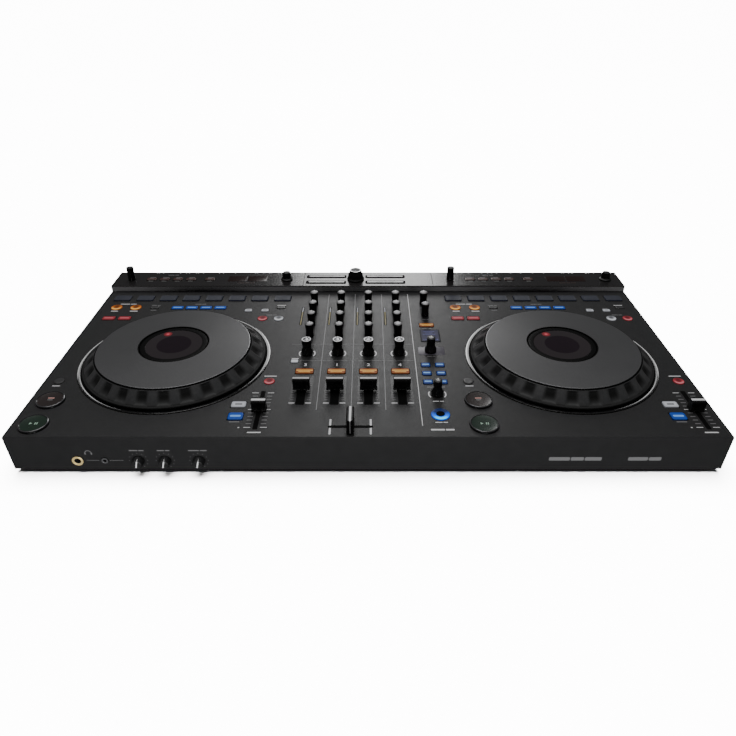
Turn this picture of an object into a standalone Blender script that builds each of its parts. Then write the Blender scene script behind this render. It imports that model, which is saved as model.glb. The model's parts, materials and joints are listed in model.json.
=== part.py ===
"""Four-channel DJ controller: two jog-wheel decks with a mixer between them, in one casing.

Metres, +Z up, +X to the player's right, +Y away from the player. The origin is at the middle of
the bounding box's bottom. In the layout below, x runs from the casing's centre line, y from the
casing's front face and heights from the top panel's surface; place() turns them into the frame.
"""

import math

import bmesh
import bpy

# Overall sizes
CASE_WIDTH = 0.733
CASE_DEPTH = 0.380
CASE_HEIGHT = 0.0415
FOOT_HEIGHT = 0.005
WALL = 0.0025
PANEL = 0.0025
DRAFT = 0.0014
EDGE_BEVEL = 0.0012
GAP = 0.0003
CLEARANCE = 0.0005

# Raised rear panel
REAR_PANEL_DEPTH = 0.0505
REAR_PANEL_HEIGHT = 0.0085
REAR_SKIN = 0.0020
REAR_CHAMFER = 0.0040

# Inside
BOTTOM_PLATE = 0.0015
BOARD = 0.0016
POT_WIDTH = 0.0100
POT_HEIGHT = 0.0049
STANDOFF_RADIUS = 0.0040
FOOT_WIDTH = 0.0200
FOOT_INSET = 0.0250

# Shafts, key mats and buttons
SHAFT_RADIUS = 0.0030
STEM_WIDTH = 0.0020
STEM_LENGTH = 0.0050
WEB = 0.0015
KEY_TRAVEL = 0.0012
KEY_SPARE = 0.0020
KEY_PROUD = 0.0010
PAD_PROUD = 0.0016
OVERLAP = 0.0005

# Mixer: five columns, counted from the left, the last one being the effects column
MIXER_X = -0.018
COLUMN_PITCH = 0.037
CHANNELS = 4
TRIM_FROM_REAR = 0.0895
KNOB_PITCH = 0.0295
KNOB_ROWS = ("trim", "high", "mid", "low")
FILTER_Y = 0.1600
CUE_KEY_Y = 0.1205
FADER_Y = 0.0825
FADER_TRAVEL = 0.0450
CROSSFADER_Y = 0.0174
CROSSFADER_TRAVEL = 0.0400

# Knobs: radii at the foot, the waist and the top, then the height
SMALL_KNOB = (0.0052, 0.0046, 0.0054, 0.0190)
FILTER_KNOB = (0.0072, 0.0056, 0.0059, 0.0200)
SELECT_KNOB = (0.0074, 0.0068, 0.0052, 0.0200)
LEVEL_KNOB = (0.0071, 0.0064, 0.0048, 0.0190)
BROWSE_KNOB = (0.0126, 0.0110, 0.0084, 0.0235)
TALL_KNOB = (0.0053, 0.0050, 0.0053, 0.0275)
SKIRTED_KNOB = (0.0085, 0.0065, 0.0056, 0.0200)

# Fader caps: width, depth and height
FADER_CAP = (0.0194, 0.0086, 0.0165)
CROSSFADER_CAP = (0.0080, 0.0260, 0.0170)

# Effects column: x from the mixer's centre line, y from the front
FX_OFFSET = 0.0940
FX_LEVEL_Y = 0.0750
FX_RING_KEY_Y = 0.0380
FX_SELECT_Y = 0.1650
FX_BEAT_Y = 0.2570
FX_TOP_Y = 0.2900
FX_ORANGE_Y = 0.2300
FX_KEY_Y = 0.0985
FX_KEY_PITCH = (0.0165, 0.0177)
FX_KEY = (0.0108, 0.0086)

# Decks: x from a deck's centre line, y from the front face unless it says rear
DECK_SIDE = 0.1353
JOG_SHIFT = 0.0027
JOG_Y = 0.1487
JOG_RADIUS = 0.1055
JOG_FOOT = 0.0012
JOG_SKIRT = 0.0168
JOG_PLATE_HEIGHT = 0.0180
JOG_HOLE_HEIGHT = 0.0208
JOG_HOLE_RADIUS = 0.0399
JOG_PLATE = 0.0030
JOG_RIM = 0.0015
JOG_BORE = 0.0125
HUB_GAP = 0.0008

PADS = 8
PAD_PITCH = 0.0320
PAD = (0.0228, 0.0150)
PAD_FROM_REAR = 0.0230
BIG_BUTTON_X = -0.1118
BIG_BUTTON_RADIUS = 0.0150
PLAY_Y = 0.0205
CUE_Y = 0.0625
BIG_BUTTON_HEIGHT = 0.0028
TEMPO_X = 0.1159
TEMPO_Y = 0.0468
TEMPO_TRAVEL = 0.0620
TEMPO_CAP = (0.0160, 0.0100, 0.0130)

# Rear panel, y from the casing's rear face
REAR_KNOB_FROM_REAR = 0.0280
TALL_KNOB_X = -0.1120
SKIRTED_KNOB_X = 0.1135

# Front face
FRONT_RISE = 0.0115
FRONT_KNOB_X = (-0.2350, -0.2077, -0.1730)
FRONT_KNOB_RADIUS = 0.0063
FRONT_KNOB_REACH = 0.0080
PHONES_X = -0.2970
MINI_PHONES_X = -0.2694
JACK_BORE = 0.00325
JACK_COLLAR = 0.0055
MINI_BORE = 0.0018
MINI_COLLAR = 0.0036
JACK_PROUD = 0.0008
JACK_DEPTH = 0.0300

# Rear sockets, x from the centre line
REAR_JACK_X = (-0.1000, -0.0760, -0.0440)
REAR_USB_X = (0.0560, 0.0760)
REAR_PHONO_X = (-0.0120, 0.0060)
USB = (0.0085, 0.0079)
PHONO_BORE = 0.0016
PHONO_BARREL = 0.0042
PHONO_PROUD = 0.0080
SOCKET_BLOCK_X = (-0.1150, 0.0900)
SOCKET_RISE = (0.0045, 0.0225)
SOCKET_DEPTH = 0.0340

# Worked out from the sizes above
STEP_Y = CASE_DEPTH - REAR_PANEL_DEPTH
REAR_KNOB_Y = CASE_DEPTH - REAR_KNOB_FROM_REAR
PAD_Y = STEP_Y - PAD_FROM_REAR
FX_X = MIXER_X + FX_OFFSET
DECK_X = CASE_WIDTH / 2 - DECK_SIDE
WEB_TOP = -PANEL - GAP
WEB_LOW = WEB_TOP - WEB
POT_TOP = KEY_TRAVEL + KEY_SPARE - WEB_LOW
BOARD_TOP = POT_TOP + POT_HEIGHT
JOG_PLATE_RADIUS = JOG_RADIUS - JOG_SKIRT
FRONT_Z = FRONT_RISE - CASE_HEIGHT
SOCKET_Z = tuple(rise - CASE_HEIGHT for rise in SOCKET_RISE)
ORIGIN_Y = (CASE_DEPTH + PHONO_PROUD - FRONT_KNOB_REACH) / 2
ORIGIN_Z = -CASE_HEIGHT - FOOT_HEIGHT

# Sides of the round outlines
SMALL_HOLE = 8
CIRCLE = 12
BIG_CIRCLE = 20
JOG_CIRCLE = 40

PAINT = {
    "case": ((0.022, 0.022, 0.024), 0.55, 0.0),
    "gloss": ((0.012, 0.012, 0.013), 0.15, 0.0),
    "steel": ((0.20, 0.20, 0.21), 0.45, 1.0),
    "board": ((0.02, 0.10, 0.05), 0.50, 0.0),
    "rubber": ((0.015, 0.015, 0.015), 0.85, 0.0),
    "socket": ((0.03, 0.03, 0.03), 0.40, 0.0),
    "jog": ((0.070, 0.070, 0.074), 0.45, 0.0),
    "screen": ((0.010, 0.008, 0.009), 0.20, 0.0),
    "knob": ((0.030, 0.030, 0.032), 0.50, 0.0),
    "cap": ((0.045, 0.045, 0.048), 0.45, 0.0),
    "pad": ((0.030, 0.034, 0.042), 0.60, 0.0),
    "key": ((0.10, 0.04, 0.03), 0.50, 0.0),
}


def channel_x(channel):
    """The centre line of a channel, counted from 0 at the left."""
    return MIXER_X + (channel - 1.5) * COLUMN_PITCH


def knob_y(row):
    """The centre of a channel knob, counted from 0 at the rear."""
    return CASE_DEPTH - TRIM_FROM_REAR - row * KNOB_PITCH


def place(x, y, z):
    """A point of the layout, in the object's frame."""
    return (x, y - ORIGIN_Y, z - ORIGIN_Z)


def material(name):
    """The material of that name, made once."""
    found = bpy.data.materials.get(name)
    if found:
        return found
    colour, roughness, metallic = PAINT[name]
    made = bpy.data.materials.new(name)
    made.use_nodes = True
    shader = made.node_tree.nodes["Principled BSDF"]
    shader.inputs["Base Color"].default_value = (*colour, 1.0)
    shader.inputs["Roughness"].default_value = roughness
    shader.inputs["Metallic"].default_value = metallic
    return made


def finish(name, mesh, paint, origin=(0.0, 0.0, 0.0), smooth_below=35.0):
    """Turn a bmesh, drawn around its own origin, into an object placed in the layout."""
    bmesh.ops.recalc_face_normals(mesh, faces=mesh.faces)
    data = bpy.data.meshes.new(name)
    mesh.to_mesh(data)
    mesh.free()
    data.materials.append(material(paint))
    data.shade_smooth()
    data.set_sharp_from_angle(angle=math.radians(smooth_below))
    made = bpy.data.objects.new(name, data)
    bpy.context.scene.collection.objects.link(made)
    made.location = place(*origin)
    return made


def combine(target, tool, operation):
    """Join the tool to the target, or cut it away, and hide the tool."""
    tool.hide_render = True
    tool.display_type = "WIRE"
    change = target.modifiers.new(tool.name, "BOOLEAN")
    change.operation = operation
    change.solver = "EXACT"
    change.object = tool


def circle(radius, count):
    """Corners of a round outline."""
    turns = [2 * math.pi * step / count for step in range(count)]
    return [(radius * math.cos(turn), radius * math.sin(turn)) for turn in turns]


def rectangle(width, depth):
    """Corners of a rectangular outline, from its two sizes."""
    x, y = width / 2, depth / 2
    return [(-x, -y), (x, -y), (x, y), (-x, y)]


def add_stack(mesh, sections, centre=(0.0, 0.0, 0.0)):
    """A closed solid through outlines with equal counts, each given with its height."""
    cx, cy, cz = centre
    rings = []
    for outline, height in sections:
        rings.append([mesh.verts.new((cx + x, cy + y, cz + height)) for x, y in outline])
    mesh.faces.new(rings[0][::-1])
    mesh.faces.new(rings[-1])
    count = len(rings[0])
    for lower, upper in zip(rings, rings[1:]):
        for i in range(count):
            j = (i + 1) % count
            mesh.faces.new((lower[i], lower[j], upper[j], upper[i]))


def add_box(mesh, low, high):
    """A box between two corners."""
    outline = [(low[0], low[1]), (high[0], low[1]), (high[0], high[1]), (low[0], high[1])]
    add_stack(mesh, [(outline, low[2]), (outline, high[2])])


def add_turned(mesh, profile, count):
    """A ring-shaped solid: a closed profile of radius and height, turned about Z."""
    rings = [[mesh.verts.new((x, y, height)) for x, y in circle(radius, count)]
             for radius, height in profile]
    for low, high in zip(rings, rings[1:] + rings[:1]):
        for i in range(count):
            j = (i + 1) % count
            mesh.faces.new((low[i], low[j], high[j], high[i]))


def add_slab(mesh, rectangles, low, high):
    """A plate that covers the union of rectangles, each (x0, y0, x1, y1)."""
    xs = sorted({value for rect in rectangles for value in (rect[0], rect[2])})
    ys = sorted({value for rect in rectangles for value in (rect[1], rect[3])})
    covered = set()
    for i, (x0, x1) in enumerate(zip(xs, xs[1:])):
        for j, (y0, y1) in enumerate(zip(ys, ys[1:])):
            x, y = (x0 + x1) / 2, (y0 + y1) / 2
            if any(r[0] < x < r[2] and r[1] < y < r[3] for r in rectangles):
                covered.add((i, j))
    points = {}

    def corner(i, j, z):
        if (i, j, z) not in points:
            points[i, j, z] = mesh.verts.new((xs[i], ys[j], z))
        return points[i, j, z]

    sides = {(0, -1): ((0, 0), (1, 0)), (1, 0): ((1, 0), (1, 1)),
             (0, 1): ((1, 1), (0, 1)), (-1, 0): ((0, 1), (0, 0))}
    square = ((0, 0), (1, 0), (1, 1), (0, 1))
    for i, j in sorted(covered):
        for z in (low, high):
            mesh.faces.new([corner(i + a, j + b, z) for a, b in square])
        for (di, dj), ((a, b), (c, d)) in sides.items():
            if (i + di, j + dj) in covered:
                continue
            mesh.faces.new((corner(i + a, j + b, low), corner(i + c, j + d, low),
                            corner(i + c, j + d, high), corner(i + a, j + b, high)))
    bmesh.ops.recalc_face_normals(mesh, faces=mesh.faces)
    bmesh.ops.dissolve_limit(mesh, angle_limit=math.radians(1), verts=mesh.verts, edges=mesh.edges)


def deck_keys():
    """The small keys of one deck: (x, y, outline), x from the deck's centre line."""
    loop_y = STEP_Y - 0.0500
    mode_y = STEP_Y - 0.0510
    jump_y = STEP_Y - 0.0590
    hot_y = STEP_Y - 0.0810
    keys = [(-0.1120, loop_y, "round", 0.0074), (-0.0858, loop_y, "round", 0.0074),
            (-0.1123, hot_y, "flat", (0.0165, 0.0090)), (-0.0915, hot_y, "flat", (0.0165, 0.0090)),
            (-0.0600, loop_y, "flat", (0.0110, 0.0070)), (0.1125, loop_y, "flat", (0.0110, 0.0070)),
            (0.0693, jump_y, "flat", (0.0100, 0.0065)), (0.0917, jump_y, "flat", (0.0100, 0.0065)),
            (0.0913, hot_y, "round", 0.0064), (0.1128, hot_y, "round", 0.0064),
            (-0.1177, 0.1000, "round", 0.0057), (0.1197, 0.1000, "round", 0.0062),
            (0.0927, 0.0553, "flat", (0.0160, 0.0105)), (0.0928, 0.0345, "flat", (0.0160, 0.0125))]
    for step in range(4):
        keys.append(((step - 1.5) * 0.0194 + 0.0005, mode_y, "flat", (0.0160, 0.0086)))
    return keys


def mixer_keys():
    """The small keys of the mixer and the effects column."""
    keys = [(channel_x(step), CUE_KEY_Y, "flat", (0.0210, 0.0110)) for step in range(CHANNELS)]
    keys.append((channel_x(0) - 0.0135, FILTER_Y - 0.0180, "flat", (0.0090, 0.0070)))
    keys.append((FX_X, FX_ORANGE_Y, "flat", (0.0190, 0.0095)))
    keys.append((FX_X, FX_RING_KEY_Y, "round", 0.0100))
    for row in range(3):
        for side in (-0.5, 0.5):
            x = FX_X + side * FX_KEY_PITCH[0]
            keys.append((x, FX_KEY_Y + row * FX_KEY_PITCH[1], "flat", FX_KEY))
    return keys


def rear_keys():
    """The keys of the raised rear panel."""
    keys = []
    for side in (-1, 1):
        for x in (-0.0830, -0.0640, -0.0450, -0.0260, 0.0015):
            keys.append((side * DECK_X + x, REAR_KNOB_Y, "flat", (0.0140, 0.0075)))
    for x in (-0.0425, 0.0430):
        for y in (-0.0100, 0.0090):
            keys.append((MIXER_X + x, REAR_KNOB_Y + y, "flat", (0.0530, 0.0060)))
    return keys


def key_outline(kind, size, grow=0.0):
    """A key's outline, grown all round by a clearance."""
    if kind == "round":
        return circle(size + grow, CIRCLE)
    return rectangle(size[0] + 2 * grow, size[1] + 2 * grow)


def pad_centres():
    """The pads of one deck, x from the deck's centre line."""
    return [((step - (PADS - 1) / 2) * PAD_PITCH, PAD_Y) for step in range(PADS)]


def add_holes(mesh, places, low, high):
    """Upright cutters through a panel: each place is (x, y, outline)."""
    for x, y, outline in places:
        add_stack(mesh, [(outline, low), (outline, high)], (x, y, 0.0))


def shaft_places():
    """Every upright shaft's centre on the top panel."""
    places = [(channel_x(step), knob_y(row)) for step in range(CHANNELS)
              for row in range(len(KNOB_ROWS))]
    places += [(channel_x(step), FILTER_Y) for step in range(CHANNELS)]
    places += [(FX_X, y) for y in (FX_LEVEL_Y, FX_SELECT_Y, FX_BEAT_Y, FX_TOP_Y)]
    return places + rear_shaft_places()


def rear_shaft_places():
    """The shafts that also pass through the raised rear panel."""
    places = [(MIXER_X, REAR_KNOB_Y)]
    for side in (-1, 1):
        places.append((side * DECK_X + TALL_KNOB_X, REAR_KNOB_Y))
        places.append((side * DECK_X + SKIRTED_KNOB_X, REAR_KNOB_Y))
    return places


def fader_slots():
    """Every slot: (x, y, travel along x, travel along y)."""
    slots = [(channel_x(step), FADER_Y, 0.0, FADER_TRAVEL) for step in range(CHANNELS)]
    slots.append((MIXER_X, CROSSFADER_Y, CROSSFADER_TRAVEL, 0.0))
    slots += [(side * DECK_X + TEMPO_X, TEMPO_Y, 0.0, TEMPO_TRAVEL) for side in (-1, 1)]
    return slots


def stem_size(along_x):
    """A fader stem's sizes along x and y."""
    return (STEM_LENGTH, STEM_WIDTH) if along_x else (STEM_WIDTH, STEM_LENGTH)


def make_top_panel():
    """The casing: top and four walls in one shell, with every hole of the top, front and rear."""
    shell = bmesh.new()
    foot = rectangle(CASE_WIDTH - 2 * DRAFT, CASE_DEPTH)
    top = rectangle(CASE_WIDTH, CASE_DEPTH)
    add_stack(shell, [(foot, -CASE_HEIGHT), (top, 0.0)], (0.0, CASE_DEPTH / 2, 0.0))
    front = [edge for edge in shell.edges
             if all(abs(vert.co.z) < GAP and abs(vert.co.y) < GAP for vert in edge.verts)]
    bmesh.ops.bevel(shell, geom=front, offset=EDGE_BEVEL, segments=1, affect="EDGES")
    panel = finish("top_panel", shell, "case")

    inside = bmesh.new()
    half = CASE_WIDTH / 2 - DRAFT - WALL
    add_box(inside, (-half, WALL, -CASE_HEIGHT - WALL), (half, CASE_DEPTH - WALL, -PANEL))
    combine(panel, finish("cut_inside", inside, "case"), "DIFFERENCE")

    holes = bmesh.new()
    low, high = -2 * PANEL, PANEL
    add_holes(holes, [(x, y, circle(SHAFT_RADIUS + CLEARANCE, SMALL_HOLE))
                      for x, y in shaft_places()], low, high)
    for x, y, along_x, along_y in fader_slots():
        wide, deep = stem_size(along_x)
        slot = rectangle(wide + along_x + 2 * CLEARANCE, deep + along_y + 2 * CLEARANCE)
        add_holes(holes, [(x, y, slot)], low, high)
    places = [(x, y, key_outline(kind, size, CLEARANCE)) for x, y, kind, size in mixer_keys()]
    for side in (-1, 1):
        centre = side * DECK_X
        places += [(centre + x, y, key_outline(kind, size, CLEARANCE))
                   for x, y, kind, size in deck_keys()]
        places += [(centre + x, y, key_outline("flat", PAD, CLEARANCE)) for x, y in pad_centres()]
        places += [(centre + BIG_BUTTON_X, y, circle(BIG_BUTTON_RADIUS + CLEARANCE, BIG_CIRCLE))
                   for y in (PLAY_Y, CUE_Y)]
        places.append((side * (DECK_X - JOG_SHIFT), JOG_Y,
                       circle(JOG_BORE - HUB_GAP + CLEARANCE, BIG_CIRCLE)))
    add_holes(holes, places, low, high)
    add_wall_holes(holes)
    combine(panel, finish("cut_holes", holes, "case"), "DIFFERENCE")


def add_wall_holes(holes):
    """Cutters through the front wall for its knobs and sockets, and the rear socket window."""
    fronts = [(x, SHAFT_RADIUS + CLEARANCE, SMALL_HOLE) for x in FRONT_KNOB_X]
    fronts.append((PHONES_X, JACK_COLLAR + CLEARANCE, BIG_CIRCLE))
    fronts.append((MINI_PHONES_X, MINI_COLLAR + CLEARANCE, CIRCLE))
    for x, radius, count in fronts:
        add_lying(holes, [(circle(radius, count), -WALL), (circle(radius, count), 2 * WALL)], x)
    add_box(holes, (SOCKET_BLOCK_X[0] - CLEARANCE, CASE_DEPTH - 2 * WALL, SOCKET_Z[0] - CLEARANCE),
            (SOCKET_BLOCK_X[1] + CLEARANCE, CASE_DEPTH + WALL, SOCKET_Z[1] + CLEARANCE))


def add_lying(mesh, sections, x, z=FRONT_Z):
    """A closed solid through outlines in the XZ plane, each given with its place along y."""
    rings = [[mesh.verts.new((x + a, y, z + b)) for a, b in outline] for outline, y in sections]
    mesh.faces.new(rings[0])
    mesh.faces.new(rings[-1][::-1])
    count = len(rings[0])
    for near, far in zip(rings, rings[1:]):
        for i in range(count):
            j = (i + 1) % count
            mesh.faces.new((near[j], near[i], far[i], far[j]))


def make_rear_cover():
    """The raised glossy panel at the rear: a lid open below, on the top panel."""
    shell = bmesh.new()
    low, high, top = STEP_Y, CASE_DEPTH, REAR_PANEL_HEIGHT
    half = CASE_WIDTH / 2
    profile = [(low, GAP), (high, GAP), (high, top - REAR_CHAMFER),
               (high - REAR_CHAMFER, top), (low + EDGE_BEVEL, top), (low, top - EDGE_BEVEL)]
    left = [shell.verts.new((-half, y, z)) for y, z in profile]
    right = [shell.verts.new((half, y, z)) for y, z in profile]
    shell.faces.new(left)
    shell.faces.new(right[::-1])
    for i in range(len(profile)):
        j = (i + 1) % len(profile)
        shell.faces.new((left[i], right[i], right[j], left[j]))
    cover = finish("rear_cover", shell, "gloss")

    inside = bmesh.new()
    add_box(inside, (-half + WALL, low + WALL, -WALL),
            (half - WALL, high - REAR_CHAMFER, top - REAR_SKIN))
    combine(cover, finish("cut_rear_inside", inside, "gloss"), "DIFFERENCE")

    holes = bmesh.new()
    places = [(x, y, circle(SHAFT_RADIUS + CLEARANCE, SMALL_HOLE)) for x, y in rear_shaft_places()]
    places += [(x, y, key_outline(kind, size, CLEARANCE)) for x, y, kind, size in rear_keys()]
    add_holes(holes, places, top - 2 * REAR_SKIN, top + REAR_SKIN)
    combine(cover, finish("cut_rear_holes", holes, "gloss"), "DIFFERENCE")


def make_bottom():
    """The steel bottom plate with standoffs under the board, and two rubber foot strips."""
    plate = bmesh.new()
    half = CASE_WIDTH / 2 - DRAFT - WALL - GAP
    inset = WALL + GAP
    top = -CASE_HEIGHT + BOTTOM_PLATE
    add_box(plate, (-half, inset, -CASE_HEIGHT), (half, CASE_DEPTH - inset, top))
    body = finish("bottom_plate", plate, "steel")

    posts = bmesh.new()
    for x in (-half + WALL + 2 * STANDOFF_RADIUS, MIXER_X, half - WALL - 2 * STANDOFF_RADIUS):
        for y in (CASE_DEPTH / 8, CASE_DEPTH - CASE_DEPTH / 8):
            outline = circle(STANDOFF_RADIUS, SMALL_HOLE)
            add_stack(posts, [(outline, top - OVERLAP), (outline, -BOARD_TOP - BOARD - GAP)],
                      (x, y, 0.0))
    combine(body, finish("join_standoffs", posts, "steel"), "UNION")

    for name, y in (("front_foot", FOOT_INSET + FOOT_WIDTH / 2),
                    ("rear_foot", CASE_DEPTH - FOOT_INSET - FOOT_WIDTH / 2)):
        foot = bmesh.new()
        length = CASE_WIDTH - 4 * FOOT_INSET
        add_stack(foot, [(rectangle(length - FOOT_HEIGHT, FOOT_WIDTH - FOOT_HEIGHT), 0.0),
                         (rectangle(length, FOOT_WIDTH), FOOT_HEIGHT - GAP)])
        finish(name, foot, "rubber", (0.0, y, ORIGIN_Z))


def make_main_board():
    """The circuit board with its potentiometers, fader bodies and rear sockets."""
    board = bmesh.new()
    half = CASE_WIDTH / 2 - DRAFT - WALL - 2 * CLEARANCE
    low = -BOARD_TOP - BOARD
    inset = WALL + 2 * CLEARANCE
    add_box(board, (-half, inset, low), (half, CASE_DEPTH - inset, -BOARD_TOP))
    body = finish("main_board", board, "board")

    parts = bmesh.new()
    pot = rectangle(POT_WIDTH, POT_WIDTH)
    for x, y in shaft_places():
        add_stack(parts, [(pot, -BOARD_TOP - OVERLAP), (pot, -POT_TOP)], (x, y, 0.0))
    for x, y, along_x, along_y in fader_slots():
        wide, deep = stem_size(along_x)
        outline = rectangle(wide + 1.2 * along_x + STEM_LENGTH, deep + 1.2 * along_y + STEM_WIDTH)
        add_stack(parts, [(outline, -BOARD_TOP - OVERLAP), (outline, -POT_TOP)], (x, y, 0.0))
    for x in FRONT_KNOB_X:
        add_box(parts, (x - POT_WIDTH / 2, POT_TOP + GAP, FRONT_Z - POT_WIDTH / 2),
                (x + POT_WIDTH / 2, 2 * POT_WIDTH, low + OVERLAP))
    add_box(parts, (SOCKET_BLOCK_X[0], CASE_DEPTH - SOCKET_DEPTH, SOCKET_Z[0]),
            (SOCKET_BLOCK_X[1], CASE_DEPTH - GAP, SOCKET_Z[1]))
    combine(body, finish("join_parts", parts, "board"), "UNION")

    links = bmesh.new()
    add_box(links, (SOCKET_BLOCK_X[0] + WALL, CASE_DEPTH - SOCKET_DEPTH + WALL, SOCKET_Z[1] - OVERLAP),
            (SOCKET_BLOCK_X[1] - WALL, CASE_DEPTH - 2 * inset, low + OVERLAP))
    for x in REAR_PHONO_X:
        barrel = circle(PHONO_BARREL, CIRCLE)
        add_lying(links, [(barrel, CASE_DEPTH - WALL), (barrel, CASE_DEPTH + PHONO_PROUD)], x,
                  sum(SOCKET_Z) / 2)
    combine(body, finish("join_links", links, "board"), "UNION")

    bores = bmesh.new()
    mid = sum(SOCKET_Z) / 2
    inner, outer = CASE_DEPTH - SOCKET_DEPTH + WALL, CASE_DEPTH + 2 * PHONO_PROUD
    for x in REAR_JACK_X:
        hole = circle(JACK_BORE, CIRCLE)
        add_lying(bores, [(hole, inner), (hole, outer)], x, mid)
    for x in REAR_PHONO_X:
        hole = circle(PHONO_BORE, SMALL_HOLE)
        add_lying(bores, [(hole, CASE_DEPTH - PHONO_PROUD), (hole, outer)], x, mid)
    for x in REAR_USB_X:
        add_lying(bores, [(rectangle(*USB), CASE_DEPTH - 2 * USB[0]), (rectangle(*USB), outer)], x, mid)
    combine(body, finish("cut_bores", bores, "board"), "DIFFERENCE")


def make_headphone_sockets():
    """The front socket block: a 6.35 mm and a 3.5 mm socket with collars through the wall."""
    block = bmesh.new()
    back = WALL + GAP
    add_box(block, (PHONES_X - 2 * JACK_BORE, back, FRONT_Z - 2 * JACK_BORE),
            (MINI_PHONES_X + 2 * JACK_BORE, JACK_DEPTH, FRONT_Z + 2 * JACK_BORE))
    body = finish("headphone_sockets", block, "socket")

    collars = bmesh.new()
    for x, radius, count in ((PHONES_X, JACK_COLLAR, BIG_CIRCLE), (MINI_PHONES_X, MINI_COLLAR, CIRCLE)):
        outline = circle(radius, count)
        add_lying(collars, [(outline, -JACK_PROUD), (outline, back + OVERLAP)], x)
    combine(body, finish("join_collars", collars, "socket"), "UNION")

    bores = bmesh.new()
    for x, radius in ((PHONES_X, JACK_BORE), (MINI_PHONES_X, MINI_BORE)):
        outline = circle(radius, CIRCLE)
        add_lying(bores, [(outline, -WALL), (outline, JACK_DEPTH - WALL)], x)
    combine(body, finish("cut_sockets", bores, "socket"), "DIFFERENCE")


def make_jog(side, label):
    """A jog wheel that turns about the post of its fixed centre display."""
    centre = (side * (DECK_X - JOG_SHIFT), JOG_Y, 0.0)
    web_low = JOG_PLATE_HEIGHT - 4 * JOG_PLATE
    web_top = web_low + JOG_PLATE
    wheel = bmesh.new()
    profile = [(JOG_BORE, web_low), (JOG_PLATE_RADIUS, web_low),
               (JOG_RADIUS - 2 * JOG_PLATE, JOG_FOOT), (JOG_RADIUS, JOG_FOOT),
               (JOG_RADIUS, JOG_FOOT + JOG_PLATE),
               (JOG_PLATE_RADIUS + JOG_RIM, JOG_PLATE_HEIGHT - JOG_RIM),
               (JOG_PLATE_RADIUS, JOG_PLATE_HEIGHT), (JOG_HOLE_RADIUS, JOG_HOLE_HEIGHT),
               (JOG_HOLE_RADIUS, web_top), (JOG_BORE, web_top)]
    add_turned(wheel, profile, JOG_CIRCLE)
    finish("jog_wheel_" + label, wheel, "jog", centre)

    hub = bmesh.new()
    post, disc = JOG_BORE - HUB_GAP, JOG_HOLE_RADIUS - HUB_GAP
    sections = [(circle(post, BIG_CIRCLE), -BOARD_TOP + GAP),
                (circle(post, BIG_CIRCLE), web_top + HUB_GAP),
                (circle(disc, BIG_CIRCLE), web_top + HUB_GAP),
                (circle(disc, BIG_CIRCLE), JOG_HOLE_HEIGHT - HUB_GAP)]
    add_stack(hub, sections)
    finish("jog_display_" + label, hub, "screen", centre)


def make_knob(name, centre, sizes, foot=0.0, count=CIRCLE):
    """A knob on its shaft: it narrows from its foot to a waist, widens to its top and is bevelled."""
    base, waist, top, height = sizes
    low = foot + 2 * GAP
    sections = [(SHAFT_RADIUS, -POT_TOP + GAP), (SHAFT_RADIUS, low), (base, low),
                (waist, low + (height - low) * 0.3), (top, height - top * 0.2), (top * 0.85, height)]
    knob = bmesh.new()
    add_stack(knob, [(circle(r, count), z) for r, z in sections])
    finish(name, knob, "knob", (*centre, 0.0))


def make_knobs():
    """Every knob on the top and rear panels."""
    for channel in range(CHANNELS):
        for row, label in enumerate(KNOB_ROWS):
            make_knob(f"{label}_knob_{channel + 1}", (channel_x(channel), knob_y(row)), SMALL_KNOB)
        make_knob(f"filter_knob_{channel + 1}", (channel_x(channel), FILTER_Y), FILTER_KNOB)
    make_knob("fx_time_knob", (FX_X, FX_TOP_Y), SMALL_KNOB)
    make_knob("fx_frequency_knob", (FX_X, FX_BEAT_Y), SMALL_KNOB)
    make_knob("fx_select_knob", (FX_X, FX_SELECT_Y), SELECT_KNOB)
    make_knob("fx_level_knob", (FX_X, FX_LEVEL_Y), LEVEL_KNOB)
    make_knob("browse_knob", (MIXER_X, REAR_KNOB_Y), BROWSE_KNOB, REAR_PANEL_HEIGHT, BIG_CIRCLE)
    for side, label in ((-1, "left"), (1, "right")):
        tall = (side * DECK_X + TALL_KNOB_X, REAR_KNOB_Y)
        skirted = (side * DECK_X + SKIRTED_KNOB_X, REAR_KNOB_Y)
        make_knob("tall_knob_" + label, tall, TALL_KNOB, REAR_PANEL_HEIGHT)
        make_knob("skirted_knob_" + label, skirted, SKIRTED_KNOB, REAR_PANEL_HEIGHT)


def make_front_knobs():
    """The three knobs on the front face, turning about y."""
    for x, label in zip(FRONT_KNOB_X, ("headphone_mix", "headphone_level", "mic_level")):
        knob = bmesh.new()
        sections = [(FRONT_KNOB_RADIUS * 0.85, -FRONT_KNOB_REACH), (FRONT_KNOB_RADIUS, -2 * GAP),
                    (SHAFT_RADIUS, -2 * GAP), (SHAFT_RADIUS, POT_TOP)]
        add_lying(knob, [(circle(r, CIRCLE), y) for r, y in sections], 0.0, 0.0)
        finish(label + "_knob", knob, "knob", (x, 0.0, FRONT_Z))


def make_fader(name, centre, cap, along_x=False):
    """A fader cap with a waist, on a flat stem that reaches down through its slot."""
    fader = bmesh.new()
    stem = rectangle(*stem_size(along_x))
    width, depth, height = cap
    foot = KEY_PROUD
    middle, top = (0.85, 0.6) if along_x else (0.65, 0.75)
    sections = [(stem, -POT_TOP + GAP), (stem, foot), (rectangle(width, depth), foot),
                (rectangle(width, depth * middle), height / 2), (rectangle(width, depth * top), height)]
    add_stack(fader, sections)
    finish(name, fader, "cap", (*centre, 0.0))


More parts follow.
